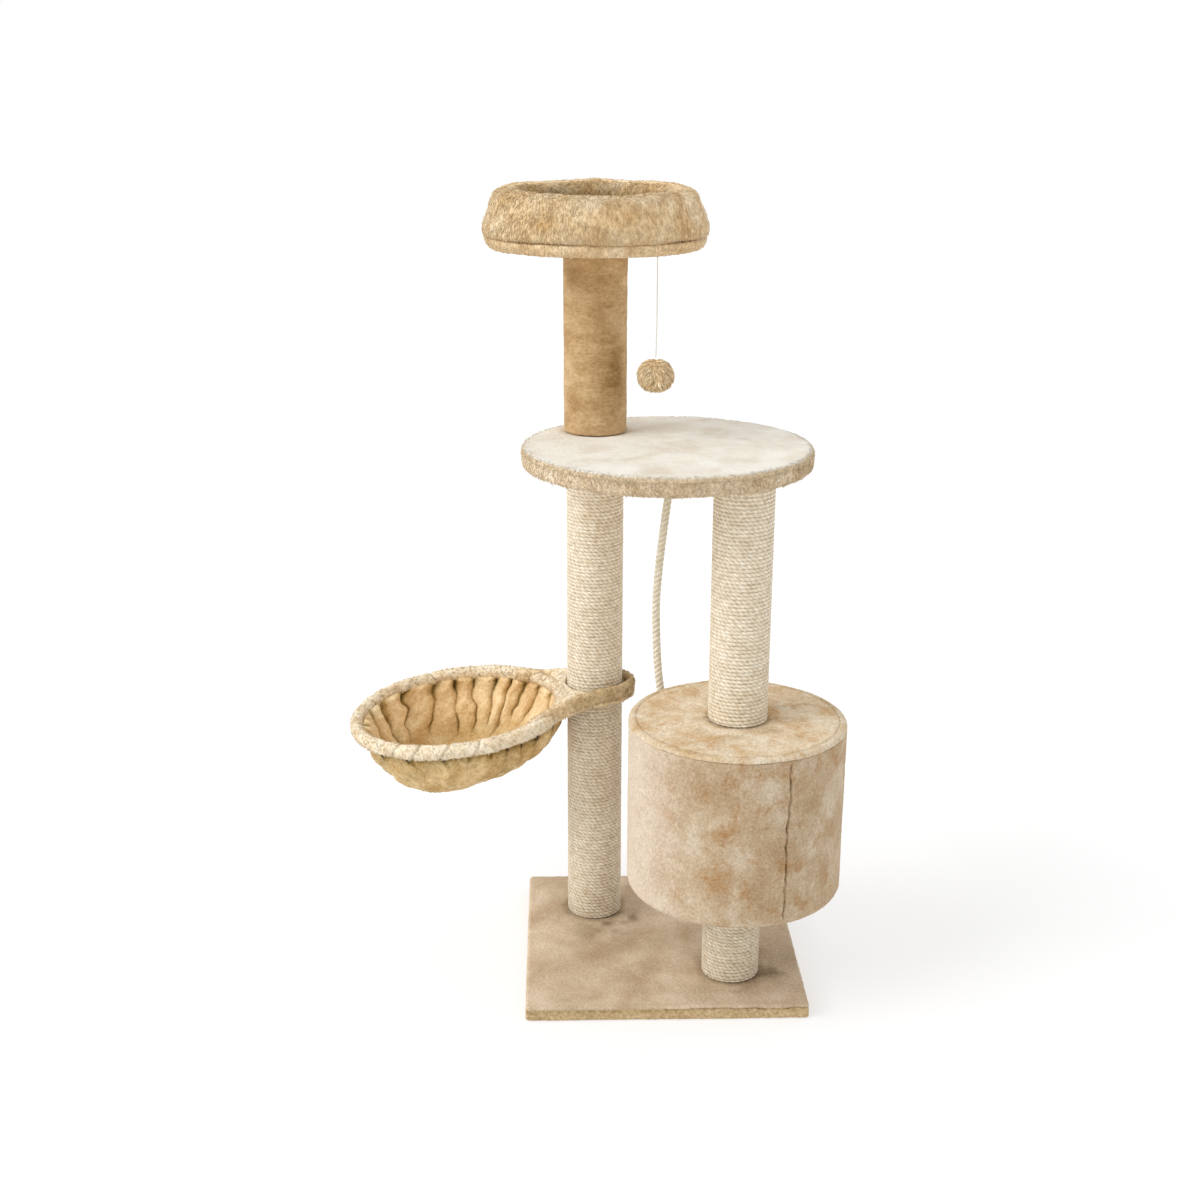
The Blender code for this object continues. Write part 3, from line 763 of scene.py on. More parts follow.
def base_wear_and_painted_light(grid, half, top):
    """Shade and sunk depth over the base: scuffs round the posts, marks, a seam in front, and painted
    light and shade.
    """
    x, y, z = np.moveaxis(grid, -1, 0)
    shade = 0.0 * x
    sunk = shade.copy()
    on_top = z > top - 0.006
    at_front = y < -half + 0.008
    for centre in (LEFT, RIGHT):
        away = from_axis(grid, centre) - radius("left_post_sisal")
        # Painted shade in the dent round the post's foot.
        ring = beside(away, 0.007) * on_top
        sunk += 0.0016 * ring
        shade -= 0.16 * ring
        scuff = beside(away, 0.035) * on_top
        shade -= 0.17 * scuff * held(1.8 * noise(grid, (0.022, 0.03, 0.03), 4) + 0.25)
    for mark_x, mark_y, wide, deep in ((-0.090, 0.030, 0.040, 0.40), (-0.046, 0.062, 0.022, 0.38),
                                       (0.160, -0.112, 0.026, 0.30), (0.105, -0.158, 0.018, 0.22)):
        spot = bump(np.hypot(x - mark_x, y - mark_y), wide) * on_top
        shade -= deep * spot * held(1.2 * noise(grid, (0.014, 0.012, 0.03), 18) + 0.55)
    # Darker towards the right.
    shade -= 0.14 * held((x - 0.02) / 0.12) * on_top
    shade += 0.09 * noise(grid, (0.05, 0.03, 0.03), 19) * on_top
    wander = 0.0016 * noise(grid, 0.02, 8)
    line = np.abs(z - (top - 0.0052) + wander)
    seam = bump(line, 0.0010) * at_front * (x > -0.005)
    sunk += 0.0012 * seam
    shade -= 0.40 * seam
    shade -= 0.16 * bump(line, 0.0040) * at_front * (x < 0.0)
    # Painted light: paler towards the left, the lamp's side.
    shade += 0.05 * held((-half + 0.09 - x) / 0.06) * on_top
    # Painted shade down the sides, with a fine speckle in the pile.
    shade += (1.0 - on_top) * (0.26 * noise(grid, 0.0032, 12) - 0.13)
    return shade, sunk


def make_base():
    """Square cover over the base's top and sides."""
    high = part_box("base_cover")[1]
    half = high.x
    top = high.z
    edge = 0.0045
    turns = np.radians(np.linspace(0.0, 90.0, 6))
    over = np.arange(half - 0.001, edge, -STEP)
    down = np.linspace(top - edge - 0.0015, 0.0018, 9)
    inset = np.concatenate([over, edge - edge * np.sin(turns), 0.0 * down, [0.0012, 0.0040]])
    height = np.concatenate([0.0 * over + top, top - edge + edge * np.cos(turns), down,
                             [0.0004, 0.0004]])
    count = 4 * int(2.0 * half / STEP)
    grid = np.stack([np.column_stack([rounded_square(half - d, max(0.006 - d, 0.0002), count),
                                      np.full(count, z)]) for d, z in zip(inset, height)])
    shade, sunk = base_wear_and_painted_light(grid, half, top)
    grid = pile(grid, normals(grid), 0.0007, 30, lumps=0.6, sunk=sunk)
    grid[..., 2] = np.maximum(grid[..., 2], 0.0002)
    put(grid_object("base_plush", grid, BASE_TAN_AND_PAINTED_SHADE, shade, caps=(True, False)), "stand", "tan_plush",
        "base_cover")


# --- Posts ---

def make_sisal(node, seed, tone, twisted, dim=()):
    """Rope wound round a post: one helical ridge, twisted as its yarn is.

    tone is its shade and twisted how much painted shade its twists get; each of dim is a height,
    a spread and a depth of painted shade on the rope.
    """
    low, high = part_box(node)
    at = axis(node)
    outer = radius(node)
    inner = outer - 0.0043
    winding = 0.0054             # the rope's thickness, which changes to fit whole turns
    per_winding = 6              # rows of points
    groove = 0.0023              # depth between two windings
    relief = 0.00055             # depth between the yarn's twists
    lay = 0.0078                 # length of one twist
    turns = int(round((high.z - low.z) / winding))
    pitch = (high.z - low.z) / turns
    rows = turns * per_winding + 1
    angle = steps_round(168, math.pi / 2.0)
    z = high.z - (high.z - low.z) * np.arange(rows) / (rows - 1)
    z = z[:, None] + 0.0 * angle
    climb = (angle - angle[0]) / TURN * pitch
    flat = polar(outer, angle, z, at)
    wander = 0.00045 * noise(flat, (0.03, 0.03, 0.006), seed)
    phase = (z - low.z - climb + wander) / pitch
    across = 2.0 * (phase % 1.0) - 1.0
    number = np.floor(phase)
    round_up = 1.0 - np.sqrt(np.maximum(0.0, 1.0 - (0.94 * across) ** 2))
    length = (number + (angle - angle[0]) / TURN) * TURN * outer
    per_turn = noise(xyz(0.0, 0.013 * number, 0.0), 0.01, seed + 3)
    slip = 1.7 * per_turn + 0.30 * noise(flat, 0.011, seed + 4)
    twist = np.cos(TURN * (length / lay + 0.42 * across + slip))
    fuzz = noise(flat, 0.0022, seed + 5)
    drop = groove * round_up + relief * (0.5 - 0.5 * twist) * (1.0 - 0.5 * round_up)
    r = outer - drop - 0.00012 * (1.0 + fuzz) - 0.00025 * (1.0 + per_turn) * 0.5
    # Painted shade in the grooves between windings and in the creases of the yarn's twists.
    shade = tone + twisted * twist - 0.72 * round_up ** 1.3 + 0.03 * per_turn + 0.12 * fuzz
    # Painted shade where dim asks for it.
    for middle, spread, depth in dim:
        shade -= depth * bump(z - middle, spread)
    r, z, shade, length, across, number = (
        np.concatenate([field[:1], field, field[-1:]]) for field in (r, z, shade, length, across, number))
    r[[0, -1]] = inner
    along = xyz(length, across * pitch / 2.0, 0.01 * number)
    rope = grid_object(f"{node}_rope", polar(r, angle, z, at), SISAL, shade, along=along)
    put(rope, "stand", "sisal", node)


def make_upper_post():
    """Dark tan cover with a smudge at the front right, a seam down the back and painted shade at its top,
    under the bed.
    """
    low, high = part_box("upper_post_cover")
    outer = radius("upper_post_cover")
    grid, out = shell([(outer - 0.0068, high.z), (outer, high.z), (outer, low.z),
                       (outer - 0.0068, low.z)], outer, LEFT, math.pi / 2.0)
    front = heading(grid, LEFT)
    z = grid[..., 2]
    seam = bump(np.abs(np.abs(front) - math.pi) * outer + 0.0012 * noise(grid, 0.012, 6), 0.0013)
    smudge = bump(front - 0.60, 0.48) * bump(z - 0.864, 0.042)
    worn = held(0.8 + 0.7 * noise(grid, (0.016, 0.016, 0.012), 9))
    # The last term is painted shade at the top, under the bed.
    shade = -0.42 * smudge * worn - 0.35 * seam - 0.12 * bump(z - high.z, 0.020)
    shade += 0.10 * bump(z - low.z, 0.022)
    shade += 0.06 * noise(grid, (0.02, 0.02, 0.0028), 41) + 0.06 * noise(grid, 0.004, 42)
    grid = pile(grid, out, 0.0006, 40, (0.003, 0.003, 0.006), 0.7, 0.0016 * seam)
    put(grid_object("upper_post_plush", grid, DARK_TAN, shade), "stand", "dark_tan_plush",
        "upper_post_cover")


# --- Platform ---

def make_platform_top():
    """Cream cover over the top and its rounded edge; its top is paler still as painted light."""
    low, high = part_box("platform_top_cover")
    outer = radius("platform_top_cover")
    edge = 0.0068
    turns = np.radians(np.linspace(0.0, 90.0, 7))
    curve = [(outer - edge + edge * math.sin(a), high.z - edge + edge * math.cos(a)) for a in turns]
    grid, out = shell([(0.001, high.z), *curve, (outer, low.z), (outer - 0.002, low.z)], outer)
    away = from_axis(grid, LEFT) - radius("upper_post_cover")
    ring = beside(away, 0.006)
    scuff = held(1.6 * noise(grid, (0.03, 0.02, 0.03), 14) - 0.1)
    # Painted shade round the post's foot; the scuffs beside it are marks.
    shade = -0.12 * ring - 0.07 * scuff * beside(away, 0.05)
    shade -= 0.03 * beside(outer - from_axis(grid), 0.004)
    grid = pile(grid, out, 0.0006, 50, lumps=0.8, sunk=0.0012 * ring)
    side = from_axis(grid) > outer - 0.006
    locks = nap(grid, out, 9000, seed=52, length=0.0040, width=0.0013, lift=0.18, tone=0.04,
                where=side)
    top = grid_object("platform_top_plush", grid, CREAM_AND_PAINTED_LIGHT, shade, caps=(True, False), locks=locks)
    put(top, "stand", "cream_plush", "platform_top_cover")


def make_platform_edge():
    """Tan band round the edge, which goes on underneath; paler round to the left as painted light."""
    low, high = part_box("platform_edge_cover")
    outer = radius("platform_top_cover")
    grid, out = shell([(outer - 0.004, high.z + 0.0016), (outer, high.z + 0.0008),
                       (outer, high.z - 0.003), (outer, low.z + 0.006), (outer - 0.002, low.z + 0.002),
                       (outer - 0.006, low.z), (0.001, low.z)], outer)
    grid = pile(grid, out, 0.0008, 55, lumps=0.5)
    side = from_axis(grid) > outer - 0.003
    # Painted light: paler round to the left, the lamp's side.
    shade = 0.16 * round_to(-heading(grid, (0.0, 0.0)), 0.5, 1.3)
    locks = nap(grid, out, 9000, seed=56, length=0.0042, width=0.0015, lift=0.22, curl=0.5,
                where=side, shade=shade)
    band = grid_object("platform_edge_plush", grid, TAN, shade, caps=(False, True), locks=locks)
    put(band, "stand", "tan_plush", "platform_edge_cover")


# --- Drum house ---

DOOR_GAP = 0.0012                # from the wall's entrance out to the edge of its cover


def make_drum():
    """The house: its side with a ragged seam, the entrance, the roof, the underside and the pad."""
    outer = radius("drum_side_cover")
    door_z, door_r = door_place()
    make_drum_side(outer, door_z, door_r)
    make_door_roll(door_z, door_r, outer)
    make_drum_roof(outer)
    make_drum_bottom(outer)
    make_drum_pad()


def make_drum_side(outer, door_z, door_r):
    """Side cover, open round the entrance; the seam leans a little, with painted shade in it and paler
    edges.
    """
    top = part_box("drum_side_cover")[1].z
    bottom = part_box("drum_bottom_cover")[0].z
    grid, out = shell([(outer - 0.0040, top + 0.0004), (outer - 0.0012, top), (outer, top - 0.0020),
                       (outer, bottom + 0.0060), (outer - 0.0012, bottom + 0.0022),
                       (outer - 0.0045, bottom + 0.0005)], outer, RIGHT, math.pi / 2.0)
    front = heading(grid, RIGHT)
    z = grid[..., 2]
    jag = 0.0016 * noise(grid, (0.05, 0.05, 0.006), 3) + 0.0022 * noise(grid, (0.05, 0.05, 0.028), 5)
    cut = np.abs((front - math.radians(22.0)) * outer + 0.0016 * (0.29 - z) / 0.12 + jag)
    fade = held((z - 0.176) / 0.01) * held((0.411 - z) / 0.006)
    seam = bump(cut, 0.0014) * fade
    lip = bump(cut - 0.0030, 0.0016) * fade
    broken = np.clip(0.75 + 0.9 * noise(grid, (0.05, 0.05, 0.009), 7), 0.25, 1.0)
    # The seam: its own dark line and painted shade in its sunk crease, broken in places; paler just
    # beside it.
    shade = -0.66 * seam * broken + 0.05 * lip
    # Painted light: paler round to the left and to the right.
    shade += 0.06 * round_to(-front, 0.25, 1.15) + 0.05 * round_to(front, 0.5, 1.3)
    grid = pile(grid, out, 0.0006, 60, lumps=0.9, sunk=0.0030 * seam - 0.0005 * lip)
    x = grid[..., 0] - RIGHT[0]
    inside = (np.hypot(x, z - door_z) < door_r + DOOR_GAP) & (grid[..., 1] > RIGHT[1])
    wrapped = np.hstack([inside, inside[:, :1]])
    hit = wrapped[:-1, :-1] | wrapped[1:, :-1] | wrapped[1:, 1:] | wrapped[:-1, 1:]
    side = grid_object("drum_side_plush", grid, DRUM_TAN_AND_PAINTED_LIGHT, shade, keep=~hit)
    put(side, "stand", "tan_plush", "drum_side_cover")


def make_drum_bottom(outer):
    """Underside round the short post, with columns that match the side's."""
    low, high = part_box("drum_bottom_cover")
    wide = radius("drum_bottom_cover")
    grid, out = shell([(wide - 0.002, high.z), (wide, high.z - 0.001), (wide, low.z + 0.0015),
                       (wide - 0.0015, low.z), (0.036, low.z)], outer, RIGHT)
    put(grid_object("drum_bottom_plush", pile(grid, out, 0.0005, 66), DRUM_TAN_AND_PAINTED_LIGHT), "stand", "tan_plush",
        "drum_bottom_cover")


def make_drum_pad():
    """Stuffed pad on the house's floor."""
    low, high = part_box("drum_floor_pad")
    wide = radius("drum_floor_pad")
    coarse = outline([(0.004, high.z - 0.001), (wide - 0.012, high.z - 0.001),
                      (wide - 0.003, high.z - 0.003), (wide - 0.001, (low.z + high.z) / 2.0),
                      (wide - 0.004, low.z + 0.001), (0.004, low.z + 0.001)], 0.007)
    still = range(len(coarse) * 2 // 3, len(coarse))
    grid = stuffed("pad_start", coarse, 112, RIGHT, still, pressure=2.0, limit=0.003,
                   fine=(150, 540))
    grid = pile(grid, normals(grid), 0.0005, 70, lumps=0.8)
    pad = put(grid_object("drum_floor_cushion", grid, LINING, caps=(True, True)),
              "stand", "orange_tan_plush", "drum_floor_pad")


def door_place():
    """Height and radius of the drum's entrance, from its wall: it cuts through the back only."""
    points = np.array([v.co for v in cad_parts["drum_wall"].data.vertices])
    low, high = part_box("drum_wall")
    heights = points[points[:, 1] > RIGHT[1] + 0.11, 2]
    heights = heights[(heights > low.z + 0.002) & (heights < high.z - 0.002)]
    foot, crown = heights.min(), heights.max()
    return (foot + crown) / 2.0, (crown - foot) / 2.0


def make_door_roll(door_z, door_r, outer):
    """Rolled plush edge round the entrance."""
    half_thick = 0.0054
    half_wide = 0.0040
    turn = steps_round(336)
    middle_r = outer - 0.0040    # so that the roll stands a little proud of the side
    ring_r = door_r + DOOR_GAP
    x = ring_r * np.cos(turn)
    y = np.sqrt(middle_r ** 2 - x ** 2)
    z = ring_r * np.sin(turn)
    centre = xyz(RIGHT[0] + x, RIGHT[1] + y, door_z + z)
    away = xyz(x, y, 0.0) / middle_r
    spread = xyz(np.cos(turn), 0.0, np.sin(turn))
    spread = direction(spread - away * (spread * away).sum(1, keepdims=True))
    section = steps_round(20)[:, None, None]
    tight = 1.0 + 0.06 * noise(centre, 0.012, 33)
    grid = (centre + half_thick * np.cos(section) * away * tight[:, None]
            + half_wide * np.sin(section) * spread)
    grid = pile(grid, direction(grid - centre), 0.0005, 34)
    put(grid_object("drum_door_roll", grid, TAN, closed=True), "stand", "tan_plush")


def make_drum_roof(outer):
    """Round cover with painted shade round its post's foot and scuffs about it, and a seam just inside
    its edge.
    """
    low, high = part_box("drum_top_cover")
    grid, out = shell([(0.001, high.z), (outer - 0.007, high.z), (outer - 0.002, high.z - 0.0018),
                       (outer, high.z - 0.0045), (outer, low.z), (outer - 0.003, low.z)], outer, RIGHT)
    reach = from_axis(grid, RIGHT)
    away = reach - radius("right_post_sisal")
    ring = beside(away, 0.006)
    stroke = held(1.8 * noise(grid, (0.035, 0.022, 0.03), 24) + 0.2)
    seam = bump(np.abs(reach - outer + 0.0105 + 0.0006 * noise(grid, 0.01, 2)), 0.0011)
    seam = seam * (grid[..., 2] > high.z - 0.002)
    # Painted shade round the post's foot; the strokes beside it are scuffs.
    shade = -0.18 * ring - 0.20 * beside(away, 0.055) * stroke - 0.30 * seam
    shade -= 0.04 * bump(heading(grid, RIGHT), 0.8) * bump(reach - 0.09, 0.05)
    shade -= 0.08 * held((reach - outer + 0.0100) / 0.002)
    grid = pile(grid, out, 0.0006, 80, lumps=0.8, sunk=0.0014 * ring + 0.0015 * seam)
    roof = grid_object("drum_roof_plush", grid, ROOF_TAN_AND_PAINTED_LIGHT, shade, caps=(True, False))
    put(roof, "stand", "tan_plush", "drum_top_cover")


# --- Bed ---

def make_bed():
    """Band below the seam, bolster and cushion."""
    low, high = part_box("bed_base_cover")
    grid, out = shell([(0.1440, high.z + 0.0004), (0.1512, high.z), (0.1522, 1.0530), (0.1505, 1.0482),
                       (0.1468, 1.0440), (0.1415, 1.0414), (0.1320, low.z - 0.0010), (0.036, low.z)],
                      0.152, LEFT, smooth=True)
    grid = pile(grid, out, 0.0010, 90, lumps=0.5)
    side = from_axis(grid, LEFT) > 0.1455
    shade = np.full(grid.shape[:2], 0.14)
    locks = nap(grid, out, 7000, seed=91, length=0.0046, width=0.0013, lift=0.20, where=side,
                shade=shade)
    band = grid_object("bed_base_plush", grid, BED_TAN, shade, locks=locks)
    put(band, "stand", "tan_plush", "bed_base_cover")
    make_bolster()
    make_bed_cushion()


def bed_painted_light(points):
    """Painted light and shade on the bed's pile: shade down in the hollow, a highlight along the crest,
    and paler round to the right.
    """
    brim = 1.119
    hollow = held((0.116 - from_axis(points, LEFT)) / 0.006)
    deep = held((brim - points[..., 2]) / 0.012)
    right = round_to(heading(points, LEFT), 0.0, 1.2)
    crest = held((points[..., 2] - brim) / 0.006) * (1.0 - hollow)
    return 0.03 + 0.16 * right + 0.10 * crest - hollow * (0.14 + 0.30 * deep)


def make_bolster():
    """Stuffed ring of long pile, brushed down on both sides and softly dented, with a painted highlight
    along its lip and painted shade in the seam below.
    """
    low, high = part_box("bed_bolster")
    foot = low.z + 0.0012
    coarse = outline([(0.1180, high.z - 0.0025), (0.1290, high.z - 0.0030), (0.1385, 1.1180),
                      (0.1438, 1.1050), (0.1500, 1.0870), (0.1548, 1.0740), (0.1545, 1.0640),
                      (0.1518, foot), (0.1300, foot), (0.1100, foot), (0.1015, 1.0690), (0.0978, 1.0850),
                      (0.0990, 1.1050), (0.1065, 1.1180)], 0.0075, ring=True)
    still = np.flatnonzero(coarse[:, 1] < low.z + 0.003).tolist()
    grid = stuffed("bolster_start", coarse, 132, LEFT, still, pressure=3.5, limit=0.0035,
                   fine=(168, around(0.154)), closed=True)
    out = normals(grid, closed=True)
    dip = 0.0016 * noise(grid, (0.05, 0.05, 0.03), 97) + 0.0008 * noise(grid, 0.018, 98)
    grid = grid + out * dip[..., None]
    raised = held((grid[..., 2] - 1.085) / 0.035)
    grid[..., 2] -= (0.0008 + 0.0028 * (1.0 + np.cos(heading(grid, LEFT)))) * raised
    grid = pile(grid, out, 0.0010, 95, (0.0028, 0.0028, 0.0080), 0.3)
    shown = grid[..., 2] > low.z + 0.004

    def brushed(roots):
        """Down, away from the crest on both sides, and swaying."""
        radial = roots - np.array([*LEFT, 0.0])
        radial[:, 2] = 0.0
        radial = direction(radial)
        swirl = xyz(-radial[:, 1], radial[:, 0], 0.0)
        sway = 0.4 * noise(roots, 0.05, 99)[:, None]
        inner = from_axis(roots, LEFT) < 0.119
        return np.array((0.0, 0.0, -1.0)) + sway * swirl + np.where(inner, -0.6, 0.6)[:, None] * radial

    locks = nap(grid, out, 60000, seed=96, length=0.0060, width=0.0011, lift=0.13, tone=0.05,
                curl=0.14, where=shown, shade=bed_painted_light(grid), lie=brushed)
    reach = from_axis(grid, LEFT)
    seam = beside(grid[..., 2] - low.z, 0.0028) * (reach > 0.14)
    lip = bump(reach - 0.124, 0.006) * (grid[..., 2] > 1.10)
    # Painted highlight along the lip round the hollow and painted shade in the gap of the seam at the
    # foot.
    shade = 0.14 * lip - 0.08 * seam + bed_painted_light(grid)
    bolster = grid_object("bed_bolster_plush", grid, BED_TAN, closed=True, locks=locks, shade=shade)
    put(bolster, "stand", "tan_plush", "bed_bolster")


def make_bed_cushion():
    """Stuffed cushion with a seam round its edge."""
    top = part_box("bed_cushion")[1].z
    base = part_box("bed_bolster")[0].z
    coarse = outline([(0.004, top - 0.0035), (0.045, top - 0.004), (0.072, top - 0.007),
                      (0.086, 1.0660), (0.0895, 1.0610), (0.0860, base + 0.001), (0.045, base + 0.001),
                      (0.004, base + 0.001)], 0.0070)
    still = np.flatnonzero(coarse[:, 1] < base + 0.0015).tolist()
    grid = stuffed("cushion_start", coarse, 84, LEFT, still, pressure=3.0, limit=0.0045,
                   fine=(120, around(0.092)))
    out = normals(grid)
    seam = bump(grid[..., 2] - 1.0612, 0.0014) * (from_axis(grid, LEFT) > 0.08)
    grid = pile(grid, out, 0.0008, 110, lumps=1.2, sunk=0.0012 * seam)
    cushion = grid_object("bed_cushion_plush", grid, LINING, caps=(True, True), shade=-0.2 * seam)
    put(cushion, "stand", "orange_tan_plush", "bed_cushion")


# --- Hammock ---

RING_OUT = 0.206                 # from the post's axis to the ring's centre
RING_HEIGHT = 0.385              # of the ring's plane at the post's axis
RING_R = 0.1545
SLEEVE_R = 0.0088
OUTWARD = Matrix.Rotation(math.radians(186.0), 4, "Z")       # turns X out from the post
DIP = math.radians(6.0)          # of the ring's far side below the post's
BAG_DEPTH = 0.111
BAG_FLOOR = -0.0958              # height of the bag's floor in the ring's own frame
PLEATS = 25                      # round the bag
PLEAT_DEPTH = 0.0135
TUCKS = 31                       # round the rim's sleeve
RING_COLUMNS = 620               # of points round the bag and the sleeve


def ring_frame():
    """The ring's plane as a matrix: out from the post, across, and up."""
    on_axis = Matrix.Translation((LEFT[0], LEFT[1], RING_HEIGHT))
    return on_axis @ OUTWARD @ Matrix.Rotation(DIP, 4, "Y") @ Matrix.Translation((RING_OUT, 0.0, 0.0))


def carried(points, matrix):
    """The points moved by a matrix."""
    m = np.array(matrix)
    return points @ m[:3, :3].T + m[:3, 3]


def hanging(place):
    """Shear that lets the bag hang nearly straight down from the ring, which dips."""
    lean = Matrix.Identity(4)
    drop = Vector((-0.011, -0.002, -BAG_DEPTH * math.cos(DIP))) / -BAG_DEPTH
    column = place.to_3x3().inverted() @ drop
    for row in range(3):
        lean[row][2] = column[row]
    return lean


def pleats(local, r, angle):
    """Of each point: its pleat's own place in the noise, pleats up to it, and their depth there."""
    drift = 0.50 * noise(local, (0.07, 0.07, 0.09), 120) + 0.22 * noise(local, 0.020, 121)
    phase = PLEATS * angle / TURN + drift + 0.45 * np.sin(3.0 * angle)
    own = xyz(0.013 * (np.floor(phase) % PLEATS), 0.0, 0.0)
    reach = held((r - 0.100 - 0.020 * noise(own, 0.009, 6)) / 0.026)
    return own, phase, reach * reach * (3.0 - 2.0 * reach)


def bag_shades(local, r, level, part, lobe, reach):
    """Painted shade on the bag's inner and outer layers: in the creases, between the lobes and close
    under the rim.

    part is the place across a pleat, lobe its fullness there, and reach how deep pleats are.
    """
    edge = np.minimum(part, 1.0 - part)
    high_up = held(1.0 + level / 0.040)
    fuzz = noise(local, 0.0030, 145)
    crease = bump(edge, 0.05 + 0.09 * high_up) * reach
    crease = crease * np.clip(0.75 + 0.6 * noise(local, 0.03, 129), 0.2, 1.0)
    # Inside: painted light on the lobes, painted shade in the creases, between the lobes and under the
    # rim; darker over the floor.
    inner = 0.08 * lobe * reach - 0.70 * crease - 0.16 * (1.0 - lobe) * reach
    inner -= 0.34 * bump(level + 0.012, 0.008) * bump(edge, 0.22)
    inner += 0.28 * held((r - 0.100) / 0.04) - 0.15 + 0.06 * noise(local, 0.02, 146)
    inner += 0.08 * fuzz
    # Outside: tone at random, painted shade in the creases and a painted shadow under the rim.
    outer = 0.26 * noise(local, (0.024, 0.024, 0.040), 128) + 0.16 * fuzz - 0.10
    outer -= (0.46 * bump(edge, 0.09) * high_up ** 0.5 + 0.10 * bump(part - 0.5, 0.2)) * reach
    outer -= 0.36 * bump(level + 0.014, 0.008) + 0.03
    return inner, outer


def make_hammock_bag(place, webs):
    """Two layers of plush, gathered into pleats at the rim and smooth over the floor."""
    profile = outline([(0.1525, -0.0040), (0.1500, -0.0180), (0.1430, -0.0360), (0.1330, -0.0535),
                       (0.1205, -0.0680), (0.1065, -0.0797), (0.0920, -0.0880), (0.0770, -0.0928),
                       (0.0500, -0.0953), (0.0250, BAG_FLOOR), (0.0010, BAG_FLOOR)], 0.0017)
    angle = steps_round(RING_COLUMNS)
    r = profile[:, 0, None]
    level = profile[:, 1, None] + 0.0 * angle
    full = 1.0 - 0.08 * np.cos(angle) * np.sin(math.pi * held(level / BAG_FLOOR)) ** 0.7
    local = polar(r * full, angle, level)
    own, phase, reach = pleats(local, r, angle)
    lobe = np.sqrt(held(np.sin(math.pi * (phase % 1.0))))
    depth = PLEAT_DEPTH * (0.65 + 0.35 * noise(own, 0.011, 5))
    fold = depth * reach * np.clip(level / -0.012 + 0.25, 0.35, 1.0)
    inward = -normals(local)
    soft = 0.0016 * noise(local, 0.022, 122) + 0.0012 * noise(local, 0.009, 123)
    inner = local + inward * (0.0030 + fold * lobe + soft)[..., None]
    inner = pile(inner, inward, 0.0012, 124, lumps=0.0)
    lump = 0.0030 * reach * np.cos(TURN * phase) + 0.0022 * noise(local, 0.03, 126)
    lump += 0.0050 * bump(level + 0.076, 0.030) * noise(local, (0.032, 0.032, 0.08), 127)
    outer = local - inward * np.clip(lump - 0.001, -0.0040, 0.0030)[..., None]
    outer = pile(outer, -inward, 0.0012, 125, lumps=0.0)
    inner_shade, outer_shade = bag_shades(local, r, level, phase % 1.0, lobe, reach)
    grid = carried(np.concatenate([inner[::-1], outer]), place @ hanging(place))
    shade = np.concatenate([inner_shade[::-1], outer_shade])
    bag = grid_object("hammock_bag_plush", grid, LINING, shade, caps=(True, True))
    put(bag, "hammock", "orange_tan_plush", "hammock_bag")


def make_hammock_rim(place):
    """Padded sleeve over the ring, creased at its tucks, thinner at the post and the far end."""
    turn = steps_round(RING_COLUMNS)
    section = steps_round(40)[:, None]
    unit = polar(np.cos(section), turn, -np.sin(section))
    middle = polar(RING_R, turn, 0.0)
    spot = middle + SLEEVE_R * unit
    swell = 0.0009 * noise(spot, 0.018, 130) + 0.0005 * noise(spot, 0.008, 131)
    wander = 0.16 * np.sin(section) + 0.25 * noise(middle, 0.05, 133)
    phase = TUCKS * turn / TURN + wander + 0.5 * np.sin(2.0 * turn)
    part = np.abs((phase % 1.0) - 0.5)
    strong = held(0.5 + noise(xyz(0.017 * np.floor(phase), 0.0, 0.0), 0.012, 8))
    crease = bump(0.5 - part, 0.055) * strong
    near_post = bump(np.abs(turn - math.pi), 0.35)
    far_end = bump(np.abs((turn + math.pi) % TURN - math.pi), 0.5)
    size = SLEEVE_R + 0.0016 - 0.0018 * (near_post + far_end) + swell - 0.0026 * crease
    grid = pile(middle + size[..., None] * unit, unit, 0.0008, 134, lumps=0.2)
    tube = carried(grid, place)
    out = normals(tube, closed=True)
    clear = from_axis(tube, LEFT) > 0.050
    # Painted shade in the creases of the tucks.
    shade = -0.30 * crease
    locks = nap(tube, out, 9000, seed=135, length=0.0040, width=0.0017, lift=0.28, curl=0.7,
                where=clear, shade=shade)
    rim = grid_object("hammock_rim_plush", tube, RIM_TAN, shade, closed=True, locks=locks)
    put(rim, "hammock", "tan_plush", "hammock_rim_sleeve")


# The band's middle line round the post, from the ring's front to its back: out towards the
# ring and across towards the front, both from the post's axis, and height.
LOOP_ROUTE = [(0.106, 0.106, 0.3745), (0.088, 0.094, 0.3785), (0.067, 0.081, 0.3830),
              (0.046, 0.069, 0.3873), (0.028, 0.0605, 0.3910), (0.010, 0.0560, 0.3937),
              (-0.010, 0.0540, 0.3957), (-0.030, 0.0458, 0.3972), (-0.045, 0.0305, 0.3975),
              (-0.0532, 0.0100, 0.3965), (-0.0532, -0.0100, 0.3945), (-0.045, -0.0305, 0.3920),
              (-0.030, -0.0465, 0.3900), (-0.010, -0.0545, 0.3885), (0.010, -0.0560, 0.3872),
              (0.028, -0.0605, 0.3855), (0.046, -0.0690, 0.3835), (0.067, -0.0810, 0.3812),
              (0.088, -0.0940, 0.3790), (0.106, -0.1060, 0.3770)]
# The web's edge from the same start to the side of the post that faces the ring.
WEB_EDGE = [(0.106, 0.106, 0.3760), (0.067, 0.081, 0.3830), (0.028, 0.0605, 0.3930),
            (0.0131, 0.0473, 0.3960), (0.0248, 0.0388, 0.3960), (0.0372, 0.0272, 0.3955),
            (0.0458, 0.0, 0.3950)]


